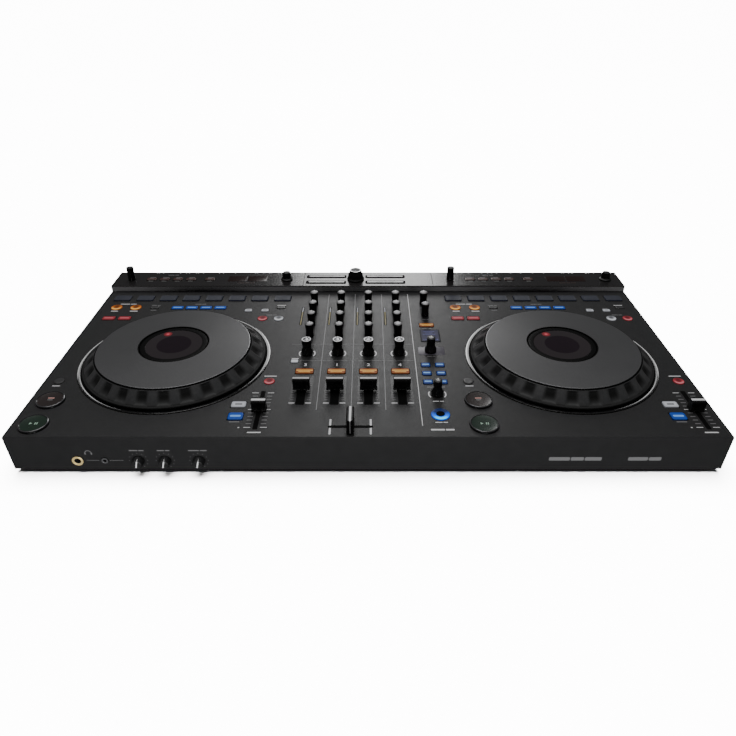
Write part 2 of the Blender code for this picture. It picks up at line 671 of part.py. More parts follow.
def make_faders():
    """Four channel faders, the crossfader and two tempo faders, all at mid travel."""
    for channel in range(CHANNELS):
        make_fader(f"channel_fader_{channel + 1}", (channel_x(channel), FADER_Y), FADER_CAP)
    make_fader("crossfader", (MIXER_X, CROSSFADER_Y), CROSSFADER_CAP, True)
    for side, label in ((-1, "left"), (1, "right")):
        make_fader("tempo_fader_" + label, (side * DECK_X + TEMPO_X, TEMPO_Y), TEMPO_CAP)


def make_big_buttons(side, label):
    """Play and cue: a disc with a flange under the panel that stops it from coming out."""
    for name, y in (("play", PLAY_Y), ("cue", CUE_Y)):
        button = bmesh.new()
        radius, flange = BIG_BUTTON_RADIUS, BIG_BUTTON_RADIUS + 2 * CLEARANCE + OVERLAP
        sections = [(flange, WEB_LOW), (flange, WEB_TOP), (radius, WEB_TOP),
                    (radius, BIG_BUTTON_HEIGHT - CLEARANCE),
                    (radius - CLEARANCE, BIG_BUTTON_HEIGHT)]
        add_stack(button, [(circle(r, BIG_CIRCLE), z) for r, z in sections])
        finish(f"{name}_button_{label}", button, "pad", (side * DECK_X + BIG_BUTTON_X, y, 0.0))


def make_mat(name, web, keys, paint, web_low, top):
    """A key mat: caps that stand on one web behind the panel and travel together."""
    sheet = bmesh.new()
    add_slab(sheet, web, web_low, web_low + WEB)
    mat = finish(name, sheet, paint)
    caps = bmesh.new()
    for x, y, outline in keys:
        add_stack(caps, [(outline, web_low + WEB - OVERLAP), (outline, top)], (x, y, 0.0))
    combine(mat, finish("join_" + name, caps, paint), "UNION")


def around(keys, margin):
    """A rectangle (x0, y0, x1, y1) that holds the keys' centres and a margin."""
    xs, ys = [key[0] for key in keys], [key[1] for key in keys]
    return (min(xs) - margin, min(ys) - margin, max(xs) + margin, max(ys) + margin)


def make_pads(side, label):
    """One deck's eight pads."""
    keys = [(side * DECK_X + x, y, rectangle(*PAD)) for x, y in pad_centres()]
    x0, y0, x1, y1 = around(keys, PAD[1] / 2 + OVERLAP)
    spare = (PAD[0] - PAD[1]) / 2
    make_mat("pads_" + label, [(x0 - spare, y0, x1 + spare, y1)], keys, "pad", WEB_LOW, PAD_PROUD)


def make_deck_keys(side, label):
    """One deck's small keys: a row behind the jog wheel and a leg down each side of it."""
    centre = side * DECK_X
    found = [(centre + x, y, kind, size) for x, y, kind, size in deck_keys()]
    margin = 0.0095
    row = around([key for key in found if key[1] > JOG_Y + JOG_PLATE_RADIUS], margin)
    shift = around([key for key in found if key[0] < centre and key[1] < JOG_Y], 0.0070)
    reset = around([key for key in found if key[0] > centre + 0.1100 and key[1] < JOG_Y], 0.0080)
    lower = around([key for key in found if centre < key[0] < centre + 0.1100 and key[1] < JOG_Y],
                   margin)
    web = [(min(row[0], shift[0]), row[1], max(row[2], reset[2]), row[3]),
           (shift[0], shift[1], shift[2], row[3]), (lower[0], reset[1], reset[2], row[3]), lower,
           (lower[0], lower[1], lower[2], row[3])]
    keys = [(x, y, key_outline(kind, size)) for x, y, kind, size in found]
    make_mat("deck_keys_" + label, web, keys, "key", WEB_LOW, KEY_PROUD)


def make_mixer_keys():
    """The mixer's keys: a row behind the faders and a spine up the effects column."""
    found = mixer_keys()
    keys = [(x, y, key_outline(kind, size)) for x, y, kind, size in found]
    spine = (FX_X + 0.0085, FX_X + 0.0175)
    cue_row = around([key for key in found if key[1] == CUE_KEY_Y], 0.0085)
    white = around([key for key in found if key[0] < channel_x(0)], 0.0065)
    pairs = around([key for key in found if abs(key[0] - FX_X) > GAP and key[0] > channel_x(3)],
                   0.0070)
    orange = around([(FX_X, FX_ORANGE_Y)], 0.0080)
    ring = around([(FX_X, FX_RING_KEY_Y)], 0.0120)
    web = [(min(cue_row[0], white[0]), cue_row[1], spine[1], cue_row[3]),
           (white[0], cue_row[1], white[2], white[3]), (spine[0], ring[1], spine[1], orange[3]),
           (orange[0] - 0.0030, orange[1], spine[1], orange[3]),
           (pairs[0], pairs[1], spine[1], pairs[3]), (ring[0], ring[1], spine[1], ring[3])]
    make_mat("mixer_keys", web, keys, "key", WEB_LOW, KEY_PROUD)


def make_rear_keys():
    """The rear panel's keys on one web, which runs behind the knobs' shafts."""
    found = rear_keys()
    keys = [(x, y, key_outline(kind, size)) for x, y, kind, size in found]
    strip = (REAR_KNOB_Y + 0.0120, REAR_KNOB_Y + 0.0160)
    groups = [[key for key in found if key[0] * side > 0 and abs(key[0]) > DECK_X - 0.1]
              for side in (-1, 1)]
    groups += [[key for key in found if key[3][0] > 0.02 and (key[0] > MIXER_X) == right]
               for right in (False, True)]
    web = []
    for group in groups:
        x0, y0, x1, y1 = around(group, 0.0)
        wide, deep = group[0][3]
        web.append((x0 - wide / 2 - OVERLAP, y0 - deep / 2 - OVERLAP, x1 + wide / 2 + OVERLAP, strip[1]))
    web.append((min(w[0] for w in web), strip[0], max(w[2] for w in web), strip[1]))
    top = REAR_PANEL_HEIGHT + KEY_PROUD
    make_mat("rear_keys", web, keys, "key", REAR_PANEL_HEIGHT - REAR_SKIN - GAP - WEB, top)


def main():
    """Clear the scene, then make every piece."""
    for existing in list(bpy.data.objects):
        bpy.data.objects.remove(existing, do_unlink=True)
    make_top_panel()
    make_rear_cover()
    make_bottom()
    make_main_board()
    make_headphone_sockets()
    make_knobs()
    make_front_knobs()
    make_faders()
    make_mixer_keys()
    make_rear_keys()
    for side, label in ((-1, "left"), (1, "right")):
        make_jog(side, label)
        make_big_buttons(side, label)
        make_pads(side, label)
        make_deck_keys(side, label)


main()
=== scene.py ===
"""Looks of a four-channel DJ controller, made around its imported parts.

Shapes are stacks of rings, worked out as whole arrays in millimetres and put into the frame in
metres. Layout places run from the casing's centre line (x), its front face (y) and the top panel's
surface (z). Places come from the parts' own boxes wherever a part has one.
"""

import json
import math

import bmesh
import bpy
import numpy as np
from mathutils import Matrix, Vector

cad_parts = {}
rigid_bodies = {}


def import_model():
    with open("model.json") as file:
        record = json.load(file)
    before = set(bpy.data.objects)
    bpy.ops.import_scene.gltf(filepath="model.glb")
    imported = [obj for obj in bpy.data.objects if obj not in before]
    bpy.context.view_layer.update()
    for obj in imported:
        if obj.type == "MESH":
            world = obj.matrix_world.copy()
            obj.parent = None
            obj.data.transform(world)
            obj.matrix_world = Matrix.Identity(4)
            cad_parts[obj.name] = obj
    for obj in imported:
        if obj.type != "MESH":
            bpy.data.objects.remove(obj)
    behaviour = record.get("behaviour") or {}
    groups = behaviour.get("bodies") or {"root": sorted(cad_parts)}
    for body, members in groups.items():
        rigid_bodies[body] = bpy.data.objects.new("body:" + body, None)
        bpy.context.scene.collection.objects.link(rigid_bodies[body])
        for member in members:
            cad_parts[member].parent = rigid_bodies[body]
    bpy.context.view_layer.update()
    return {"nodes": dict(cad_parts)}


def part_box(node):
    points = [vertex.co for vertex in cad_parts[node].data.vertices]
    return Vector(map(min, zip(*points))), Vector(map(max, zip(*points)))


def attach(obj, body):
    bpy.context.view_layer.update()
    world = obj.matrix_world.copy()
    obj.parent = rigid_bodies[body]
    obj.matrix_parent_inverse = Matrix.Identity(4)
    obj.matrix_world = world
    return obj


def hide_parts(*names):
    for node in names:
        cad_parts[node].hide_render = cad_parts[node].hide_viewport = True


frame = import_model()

MM = 0.001
PANEL_LOW, PANEL_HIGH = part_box("top_panel")
ORIGIN = np.array([0.0, PANEL_LOW.y, PANEL_HIGH.z])
CHANNELS = (1, 2, 3, 4)
CHANNEL_NUMBERS = ("3", "1", "2", "4")
SIDES = ("left", "right")
PRINT = 0.04
ARC_STEPS = 20
TAU = 2 * math.pi

# The directions that a form's own x, y and height take in the frame
UP = np.eye(3)
FORWARD = np.array([[1, 0, 0], [0, 0, 1], [0, -1, 0]], float)
BACKWARD = np.array([[-1, 0, 0], [0, 0, 1], [0, 1, 0]], float)
DOWN = np.array([[1, 0, 0], [0, -1, 0], [0, 0, -1]], float)


# ---------------------------------------------------------------- places

def span(node):
    """A part's lowest and highest corners, in millimetres of the layout."""
    low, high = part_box(node)
    return (np.array(low) - ORIGIN) / MM, (np.array(high) - ORIGIN) / MM


def middle(node):
    """The middle of a part's box, in millimetres of the layout."""
    low, high = span(node)
    return (low + high) / 2


def cap_boxes(node):
    """Each flat cap on top of a key mat as (x, y, width, depth): top triangles that share corners."""
    mesh = frame["nodes"][node].data
    mesh.calc_loop_triangles()
    points = np.empty(len(mesh.vertices) * 3)
    mesh.vertices.foreach_get("co", points)
    points = (points.reshape(-1, 3) - ORIGIN) / MM
    corners = np.empty(len(mesh.loop_triangles) * 3, int)
    mesh.loop_triangles.foreach_get("vertices", corners)
    corners = corners.reshape(-1, 3)
    corners = corners[(points[corners][:, :, 2] > points[:, 2].max() - 0.01).all(axis=1)]
    _, spots = np.unique(np.round(points, 2), axis=0, return_inverse=True)
    spots = spots.ravel()
    label = np.arange(spots.max() + 1)
    before = None
    while before is None or (before != label).any():
        before = label.copy()
        lowest = label[spots[corners]].min(axis=1)
        np.minimum.at(label, spots[corners], lowest[:, None])
    found = []
    marks = label[spots[corners]][:, 0]
    for mark in np.unique(marks):
        own = points[corners[marks == mark]].reshape(-1, 3)[:, :2]
        low, high = own.min(axis=0), own.max(axis=0)
        found.append((*((low + high) / 2), *(high - low)))
    return np.array(found)


def nearest(boxes, x, y):
    """The cap nearest to a place of the layout."""
    return boxes[np.hypot(boxes[:, 0] - x, boxes[:, 1] - y).argmin()]


# ---------------------------------------------------------------- surfaces

def turned(profile, sides, ripple=0.0):
    """Rings of a turned form: ring k is a circle of profile[k]'s radius, plus the ripple, at its height."""
    profile = np.array(profile, float)
    angle = TAU * np.arange(sides) / sides
    radius = profile[:, :1] + ripple
    return np.stack([radius * np.cos(angle), radius * np.sin(angle),
                     np.broadcast_to(profile[:, 1:], (len(profile), sides))], axis=-1)


def rounded(width, depth, corner, steps=5):
    """A rounded rectangle: four quarter circles about the corners of the rectangle inside it."""
    turn = (np.linspace(0, math.pi / 2, steps) + math.pi / 2 * np.arange(4)[:, None]).ravel()
    sign_x = np.repeat([1, -1, -1, 1], steps)
    sign_y = np.repeat([1, 1, -1, -1], steps)
    return np.stack([corner * np.cos(turn) + sign_x * (width / 2 - corner),
                     corner * np.sin(turn) + sign_y * (depth / 2 - corner)], axis=-1)


def slab(width, depth, corner, profile, steps=5):
    """Rings of a rounded plate: each row of the profile is (inset from the outline, height)."""
    rings = []
    for inset, height in profile:
        outline = rounded(width - 2 * inset, depth - 2 * inset, max(corner - inset, 0.02), steps)
        rings.append(np.column_stack([outline, np.full(len(outline), height)]))
    return np.array(rings)


def arc(radius, width, start, end):
    """Rings of a printed arc: a small rectangle carried round part of a circle, angles in degrees."""
    angle = np.radians(np.linspace(start, end, ARC_STEPS))[:, None]
    reach = radius + width / 2 * np.array([-1, 1, 1, -1])
    height = np.broadcast_to([-PRINT, -PRINT, PRINT, PRINT], (ARC_STEPS, 4))
    return np.stack([reach * np.cos(angle), reach * np.sin(angle), height], axis=-1)


class Form:
    """Closed surfaces gathered into one mesh, each a stack of rings with a face at either end."""

    def __init__(self):
        self.points, self.corners, self.sizes = [], [], []
        self.paint, self.glow, self.count = [], [], 0

    def add(self, rings, at=(0, 0, 0), paint=0, glow=0.0, basis=UP, looped=False):
        """Add a stack at a layout place. paint is one finish, or one for each face band from the
        start to the end. glow is one value, one for each ring, or one for each point of each ring. A
        looped stack has no ends."""
        rows, sides = rings.shape[:2]
        steps = rows if looped else rows - 1
        k, i = np.meshgrid(np.arange(steps), np.arange(sides), indexing="ij")
        j, up = (i + 1) % sides, (k + 1) % rows
        quads = np.stack([k * sides + i, k * sides + j, up * sides + j, up * sides + i], axis=-1)
        faces = [quads.reshape(-1, 4) + self.count]
        if looped:
            self.paint.append(np.repeat(np.broadcast_to(paint, steps), sides))
        else:
            faces += [np.arange(sides)[None, ::-1] + self.count,
                      np.arange(sides)[None] + (rows - 1) * sides + self.count]
            coats = np.broadcast_to(paint, steps + 2)
            self.paint += [np.repeat(coats[1:-1], sides), coats[:1], coats[-1:]]
        for group in faces:
            self.corners.append(group.ravel())
            self.sizes.append(np.full(len(group), group.shape[1]))
        glow = np.array(glow, float)
        glow = glow[:, None] if glow.ndim == 1 else glow
        self.glow.append(np.broadcast_to(glow, (rows, sides)).ravel().astype(np.float32))
        self.points.append((rings.reshape(-1, 3) @ basis + np.array(at, float)) * MM + ORIGIN)
        self.count += rows * sides

    def piece(self, name, body, slot, finishes, replaces=(), smooth_below=32.0):
        """Make the object, smooth up to an angle, and let it ride on its body."""
        mesh = bpy.data.meshes.new(name)
        sizes, corners = np.concatenate(self.sizes), np.concatenate(self.corners)
        points = np.concatenate(self.points)
        mesh.vertices.add(len(points))
        mesh.vertices.foreach_set("co", points.ravel().astype(np.float32))
        mesh.loops.add(len(corners))
        mesh.loops.foreach_set("vertex_index", corners.astype(np.int32))
        mesh.polygons.add(len(sizes))
        mesh.polygons.foreach_set("loop_start", (np.cumsum(sizes) - sizes).astype(np.int32))
        mesh.polygons.foreach_set("loop_total", sizes.astype(np.int32))
        mesh.polygons.foreach_set("material_index", np.concatenate(self.paint).astype(np.int32))
        mesh.update(calc_edges=True)
        glow = mesh.attributes.new("glow", "FLOAT", "POINT")
        glow.data.foreach_set("value", np.concatenate(self.glow))
        work = bmesh.new()
        work.from_mesh(mesh)
        bmesh.ops.recalc_face_normals(work, faces=work.faces)
        work.to_mesh(mesh)
        work.free()
        for finish in finishes:
            mesh.materials.append(finish)
        return settle(mesh, name, body, replaces, smooth_below)


def settle(mesh, name, body, replaces=(), smooth_below=32.0):
    """An object for a mesh that is already in place."""
    mesh.shade_smooth()
    mesh.set_sharp_from_angle(angle=math.radians(smooth_below))
    made = bpy.data.objects.new(name, mesh)
    bpy.context.scene.collection.objects.link(made)
    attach(made, body)
    if replaces:
        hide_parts(*replaces)
    return made


def numerals(name, text, at, size, finish, body):
    """Raised figures, centred on a place of the layout."""
    curve = bpy.data.curves.new(name, "FONT")
    curve.body = text
    curve.size = size * MM
    curve.extrude = PRINT / 2 * MM
    curve.offset = 0.03 * size * MM
    curve.align_x = "CENTER"
    curve.align_y = "CENTER"
    holder = bpy.data.objects.new(name + "_text", curve)
    bpy.context.scene.collection.objects.link(holder)
    mesh = bpy.data.meshes.new_from_object(holder)
    bpy.data.objects.remove(holder)
    mesh.transform(Matrix.Translation(Vector(np.array(at, float) * MM + ORIGIN)))
    work = bmesh.new()
    work.from_mesh(mesh)
    bmesh.ops.remove_doubles(work, verts=work.verts, dist=1e-7)
    bmesh.ops.recalc_face_normals(work, faces=work.faces)
    work.to_mesh(mesh)
    work.free()
    mesh.materials.clear()
    mesh.materials.append(finish)
    return settle(mesh, name, body)


# ---------------------------------------------------------------- finishes

class Wire:
    """A shader socket in an expression: each operator adds the Math node that works it out."""

    def __init__(self, finish, socket):
        self.finish, self.socket = finish, socket

    def __add__(self, other):
        return self.finish.math("ADD", self, other)

    def __sub__(self, other):
        return self.finish.math("SUBTRACT", self, other)

    def __rsub__(self, other):
        return self.finish.math("SUBTRACT", other, self)

    def __mul__(self, other):
        return self.finish.math("MULTIPLY", self, other)

    def __pow__(self, other):
        return self.finish.math("POWER", self, other)

    __radd__ = __add__
    __rmul__ = __mul__

    def above(self, edge, soft):
        """0 below an edge and 1 above it, with a soft step as wide as given."""
        return self.finish.math("ADD", (self - edge) * (1 / soft), 0.5, clamp=True)


class Finish:
    """A material in the making: a Principled shader and the nodes that feed it."""

    def __init__(self, name, colour, roughness, metallic=0.0, **fixed):
        self.made = bpy.data.materials.new(name)
        self.made.use_nodes = True
        self.tree = self.made.node_tree
        self.shader = self.tree.nodes["Principled BSDF"]
        self.colour, self.roughness = (*colour, 1.0), roughness
        self.shader.inputs["Base Color"].default_value = self.colour
        self.shader.inputs["Roughness"].default_value = roughness
        self.shader.inputs["Metallic"].default_value = metallic
        for socket, value in fixed.items():
            self.shader.inputs[socket.replace("_", " ")].default_value = value
        self.place = self.node("ShaderNodeTexCoord", out="Object")

    def node(self, kind, settings=None, sockets=None, out=0):
        """Add a node: its settings first, then the values or links of its sockets."""
        made = self.tree.nodes.new(kind)
        for key, value in (settings or {}).items():
            setattr(made, key, value)
        for key, value in (sockets or {}).items():
            if isinstance(value, Wire):
                self.tree.links.new(value.socket, made.inputs[key])
            else:
                made.inputs[key].default_value = value
        return Wire(self, made.outputs[out])

    def math(self, operation, a, b, clamp=False):
        """One Math node."""
        return self.node("ShaderNodeMath", {"operation": operation, "use_clamp": clamp}, {0: a, 1: b})

    def noise(self, scale, detail=2.0, place=None):
        """Noise from 0 to 1 in Object coordinates, its scale in cells per metre."""
        return self.node("ShaderNodeTexNoise", {}, {"Vector": place or self.place, "Scale": scale,
                                                    "Detail": detail})

    def axis(self, letter, place=None):
        """One Object coordinate, in metres."""
        return self.node("ShaderNodeSeparateXYZ", {}, {0: place or self.place}, letter)

    def about(self, x, y):
        """Object coordinates measured from an upright line at a place of the layout."""
        centre = np.array([x, y, 0.0]) * MM + ORIGIN
        return self.node("ShaderNodeMapping", {}, {"Vector": self.place,
                                                   "Location": (-centre[0], -centre[1], 0.0)})

    def mixed(self, factor, low, high):
        """A colour between two, by a factor."""
        ends = {6: low if isinstance(low, Wire) else (*low, 1.0),
                7: high if isinstance(high, Wire) else (*high, 1.0)}
        return self.node("ShaderNodeMix", {"data_type": "RGBA"}, {0: factor, **ends}, 2)

    def feed(self, socket, wire):
        """Link a worked-out value to the shader."""
        self.tree.links.new(wire.socket, self.shader.inputs[socket])

    def bump(self, height, distance):
        """Shape the normal by a height, whose full range is a distance in metres."""
        self.feed("Normal", self.node("ShaderNodeBump", {}, {"Height": height, "Distance": distance,
                                                             "Strength": 1.0}))

    def mottle(self, amount, scale=60.0):
        """Let the colour drift up and down by a share of itself."""
        dark = tuple(c * (1 - amount) for c in self.colour[:3])
        light = tuple(min(c * (1 + amount), 1.0) for c in self.colour[:3])
        self.feed("Base Color", self.mixed(self.noise(scale, 4.0), dark, light))

    def worn(self, spread, scale=90.0):
        """Let the roughness drift about its value, as handling leaves it."""
        self.feed("Roughness", self.noise(scale, 5.0) * (2 * spread) + (self.roughness - spread))


def moulded(name, colour, roughness, grain=2600.0, depth=0.00004, metallic=0.0, **fixed):
    """Spark-eroded plastic or paint: a fine even grain, slight drift in colour and in shine."""
    finish = Finish(name, colour, roughness, metallic, **fixed)
    finish.mottle(0.12)
    finish.worn(0.05)
    finish.bump(finish.noise(grain, 3.0), depth)
    return finish.made


def polished(name, colour, roughness, metallic=0.0, **fixed):
    """A smooth finish with faint waviness and fine wipe marks in its shine."""
    finish = Finish(name, colour, roughness, metallic, **fixed)
    finish.mottle(0.08, 30.0)
    finish.worn(0.03, 400.0)
    finish.bump(finish.noise(35.0, 1.0), 0.00002)
    return finish.made


def platter(name, colour, x, y):
    """A satin platter with grooves too fine to count, turned about a line: noise of the radius alone."""
    finish = Finish(name, colour, 0.38, 0.0, Specular_IOR_Level=0.62)
    centred = finish.about(x, y)
    across, along = finish.axis("X", centred), finish.axis("Y", centred)
    radius = (across * across + along * along) ** 0.5
    ring = finish.node("ShaderNodeCombineXYZ", {}, {"X": radius, "Y": 0.0, "Z": 0.0})
    lines = finish.noise(1500.0, 2.0, ring)
    finish.mottle(0.05)
    finish.feed("Roughness", lines * 0.10 + finish.noise(40.0, 3.0) * 0.06 + 0.32)
    finish.bump(lines, 0.00002)
    return finish.made


def lit(name, colour, strength, hot=None, body=0.12):
    """A translucent cap with light behind it: dark where glow is 0, coloured at the middle values,
    and pale where glow is 1."""
    finish = Finish(name, tuple(body * c + 0.006 for c in colour), 0.42, 0.0, Specular_IOR_Level=0.14)
    finish.shader.inputs["Emission Strength"].default_value = strength
    glow = finish.node("ShaderNodeAttribute", {"attribute_name": "glow"}, {}, "Fac")
    cloud = finish.noise(700.0, 3.0) * 0.35 + 0.8
    hot = hot or tuple(0.55 * c + 0.45 for c in colour)
    tone = finish.mixed(glow * cloud, (0.0, 0.0, 0.0), colour)
    finish.feed("Emission Color", finish.mixed(glow.above(0.85, 0.3), tone, hot))
    finish.worn(0.05, 300.0)
    finish.bump(finish.noise(3000.0, 2.0), 0.00002)
    return finish.made


def ink(name, colour, roughness=0.5):
    """Screen-printed ink, slightly uneven."""
    finish = Finish(name, colour, roughness)
    finish.mottle(0.10, 900.0)
    finish.worn(0.06, 900.0)
    return finish.made


def smoked(name, x, y):
    """A smoked display window with a faint warm disc behind its middle."""
    finish = Finish(name, (0.016, 0.013, 0.015), 0.14, 0.0, Coat_Weight=0.2, Coat_Roughness=0.08)
    centred = finish.about(x, y)
    across, along = finish.axis("X", centred), finish.axis("Y", centred)
    radius = (across * across + along * along) ** 0.5
    inside = 1 - radius.above(20.0 * MM, 0.0008)
    finish.feed("Base Color", finish.mixed(inside, (0.027, 0.022, 0.0245), (0.0085, 0.0050, 0.0080)))
    finish.shader.inputs["Emission Strength"].default_value = 0.10
    finish.feed("Emission Color", finish.mixed(inside * finish.noise(180.0, 3.0),
                                               (0.0, 0.0, 0.0), (0.030, 0.006, 0.022)))
    finish.worn(0.03, 200.0)
    return finish.made


def board_finish():
    """Green board with black components, and nickel on what stands out of the rear wall."""
    finish = Finish("board_and_sockets", (0.02, 0.09, 0.045), 0.45)
    height, depth = finish.axis("Z"), finish.axis("Y")
    part_height, board = 4.9 * MM, 1.6 * MM
    board_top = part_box("main_board")[1].z - part_height
    part = height.above(board_top + 0.2 * MM, 0.0002)
    under = 1 - height.above(board_top - board - 0.2 * MM, 0.0002)
    metal = depth.above(PANEL_HIGH.y + 0.1 * MM, 0.0001)
    green = finish.mixed(finish.noise(320.0, 5.0), (0.012, 0.07, 0.035), (0.02, 0.11, 0.055))
    black = finish.mixed(finish.noise(900.0), (0.016, 0.016, 0.017), (0.026, 0.026, 0.027))
    plain = finish.mixed(finish.math("MAXIMUM", part, under), green, black)
    finish.feed("Base Color", finish.mixed(metal, plain, (0.62, 0.60, 0.55)))
    finish.feed("Metallic", metal)
    finish.feed("Roughness", 0.45 - metal * 0.22)
    finish.bump(finish.noise(1200.0, 4.0), 0.00003)
    return finish.made


def grip_finish():
    """A wheel's grip: satin on the ridges, matt down in the scoops, and painted shade where glow is 1: the
    colour goes near black in the scoops and dark at the wheel's foot.
    """
    finish = Finish("platter_grip_painted_shade", (0.020, 0.020, 0.021), 0.30, 0.0, Specular_IOR_Level=0.28)
    depth = finish.node("ShaderNodeAttribute", {"attribute_name": "glow"}, {}, "Fac")
    ridge = finish.mixed(finish.noise(300.0, 4.0), (0.036, 0.036, 0.037), (0.068, 0.068, 0.069))
    # painted shade: glow darkens the base colour, in the scoops and at the wheel's foot
    finish.feed("Base Color", finish.mixed(depth, ridge, (0.0015, 0.0015, 0.0015)))
    finish.feed("Roughness", depth * 0.5 + finish.noise(90.0, 5.0) * 0.10 + 0.26)
    finish.bump(finish.noise(2200.0, 3.0), 0.00003)
    return finish.made


def cover_finish():
    """The raised rear panel: glossy on top, and the casing's own grain on its front wall, whose colour is
    painted lighter than the top as a stand-in for the light that wall catches.
    """
    finish = Finish("rear_cover_gloss", (0.014, 0.013, 0.0135), 0.18)
    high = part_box("rear_cover")[1]
    top = finish.axis("Z").above(high.z - 1.6 * MM, 0.0008)
    # painted light: below the top, the front wall gets a lighter colour than the top
    finish.feed("Base Color", finish.mixed(top, (0.031, 0.031, 0.032), (0.014, 0.013, 0.0135)))
    finish.feed("Roughness", 0.50 - top * 0.30 + finish.noise(200.0, 3.0) * 0.04)
    finish.bump(finish.noise(2400.0, 3.0), 0.00003)
    return finish.made


CASE = moulded("case_plastic", (0.0060, 0.0060, 0.0064), 0.46, 2400.0, 0.00005,
               Specular_IOR_Level=0.38)
STEEL = moulded("black_steel", (0.030, 0.030, 0.031), 0.42, 1800.0, 0.00003, 0.3)
RUBBER = moulded("foot_rubber", (0.016, 0.016, 0.016), 0.82, 900.0, 0.00012)
SOCKET = moulded("socket_plastic", (0.020, 0.020, 0.021), 0.35, 1500.0, 0.00003)
GRIP = moulded("knob_rubber", (0.0075, 0.0075, 0.0080), 0.46, 3000.0, 0.00003,
               Specular_IOR_Level=0.32)
KNOB_CAP = moulded("knob_cap_grey", (0.135, 0.135, 0.139), 0.32, 2600.0, 0.00002, 0.2)
SILVER = polished("silver_ring", (0.62, 0.62, 0.63), 0.24, 1.0)
SILVER_GREY = polished("knob_ring_grey", (0.40, 0.40, 0.41), 0.32, 0.7)
GOLD = polished("gold_ring", (0.85, 0.66, 0.30), 0.35, 0.55)
CAP = moulded("fader_cap_plastic", (0.0055, 0.0055, 0.0060), 0.40, 2800.0, 0.00003,
              Specular_IOR_Level=0.28)
PAD = moulded("pad_silicone", (0.026, 0.029, 0.041), 0.50, 2000.0, 0.00004,
              Specular_IOR_Level=0.26)
WALL = grip_finish()
EDGE = polished("platter_edge", (0.12, 0.12, 0.125), 0.30, 0.4)
RIM = polished("platter_rim", (0.004, 0.004, 0.0045), 0.13, Coat_Weight=0.6, Coat_Roughness=0.07)
GROOVE = moulded("groove_black", (0.0012, 0.0012, 0.0012), 0.70, Specular_IOR_Level=0.06)
BUTTON = polished("button_black", (0.014, 0.014, 0.015), 0.20, Coat_Weight=0.2)
BUTTON_EDGE = polished("button_edge", (0.11, 0.11, 0.115), 0.22, 0.4)
WHITE_INK = ink("white_ink", (0.72, 0.72, 0.73))
GREY_INK = ink("grey_ink", (0.20, 0.20, 0.205))
FAINT_INK = ink("faint_ink", (0.115, 0.115, 0.118))
DIM_INK = ink("dim_ink", (0.075, 0.075, 0.078))
FRAME = moulded("display_frame", (0.006, 0.006, 0.010), 0.45, Specular_IOR_Level=0.08)
WINDOW = polished("tinted_window", (0.016, 0.008, 0.007), 0.22, Specular_IOR_Level=0.25)
KEY_DARK = moulded("key_dark", (0.024, 0.024, 0.025), 0.40)
KEY_RED_DARK = moulded("key_unlit_red", (0.050, 0.022, 0.018), 0.32)
ORANGE = lit("lit_orange", (1.0, 0.24, 0.005), 0.70, (1.0, 0.62, 0.16))
RED = lit("lit_red", (1.0, 0.085, 0.12), 0.42, (1.0, 0.36, 0.40))
BLUE = lit("lit_blue", (0.012, 0.14, 0.85), 0.78, (0.28, 0.58, 0.95))
SKY = lit("lit_sky", (0.0, 0.14, 1.0), 1.70, (0.02, 0.62, 1.0))
WHITE = lit("lit_white", (0.85, 0.88, 0.95), 0.55)
GREEN = lit("lit_green", (0.25, 0.60, 0.35), 0.40)
AMBER = lit("lit_amber", (0.95, 0.28, 0.18), 0.40)
YELLOW = lit("lit_yellow", (0.75, 0.62, 0.18), 0.4)
NAVY = lit("display_navy", (0.012, 0.013, 0.160), 0.26, (0.012, 0.013, 0.160), 0.02)
ICE = lit("display_figures", (0.20, 0.21, 0.55), 0.30, (0.17, 0.18, 0.45))
PAD_EDGE = lit("pad_edge", (0.10, 0.12, 0.22), 0.18)
BEZEL = polished("bezel_black", (0.0015, 0.0015, 0.0016), 0.36, Specular_IOR_Level=0.10)
PLAY_FACE = polished("play_face", (0.012, 0.026, 0.017), 0.26, Coat_Weight=0.1)
CUE_FACE = polished("cue_face", (0.024, 0.018, 0.017), 0.26, Coat_Weight=0.1)
CAP_LINE = ink("cap_line", (0.80, 0.80, 0.81), 0.35)
CAP_TOP_SHEEN = moulded("fader_top_painted_sheen", (0.39, 0.385, 0.39), 0.36, 2600.0, 0.00002)
LILAC_PLATE = polished("select_plate", (0.070, 0.064, 0.080), 0.34, Specular_IOR_Level=0.25)
SLOT_FLOOR = moulded("slot_strip", (0.014, 0.014, 0.0145), 0.42, 2600.0, 0.00003)
RED_PLASTIC = moulded("red_plastic", (0.45, 0.02, 0.02), 0.40)


# ---------------------------------------------------------------- printed marks

def dash(form, at, width, depth, paint=0, basis=UP):
    """A printed mark with slightly rounded ends, standing a hair above its surface."""
    corner = min(width, depth) * 0.25
    form.add(slab(width, depth, corner, [(0, -PRINT), (0, PRINT)], 3), at, paint, 1.0, basis)


def word(form, at, width, depth=1.3, paint=0, basis=UP, parts=2):
    """A stand-in for a printed word: a few marks in a row that fill a width."""
    shares = np.array([1.0, 0.62, 0.8][:parts])
    gap = 0.9
    widths = shares / shares.sum() * (width - gap * (parts - 1))
    start = -width / 2
    for share in widths:
        offset = np.array([start + share / 2, 0.0, 0.0]) @ basis
        dash(form, np.array(at) + offset, share, depth, paint, basis)
        start += share + gap


def triangle(form, at, size, paint):
    """A play mark that points right, as a thin three-sided plate."""
    turn = TAU * np.arange(3) / 3
    outline = np.stack([size * np.cos(turn), size * np.sin(turn)], axis=-1)
    rings = np.array([np.column_stack([outline, np.full(3, h)]) for h in (-PRINT, PRINT)])
    form.add(rings, at, paint, 1.0)


# ---------------------------------------------------------------- knobs

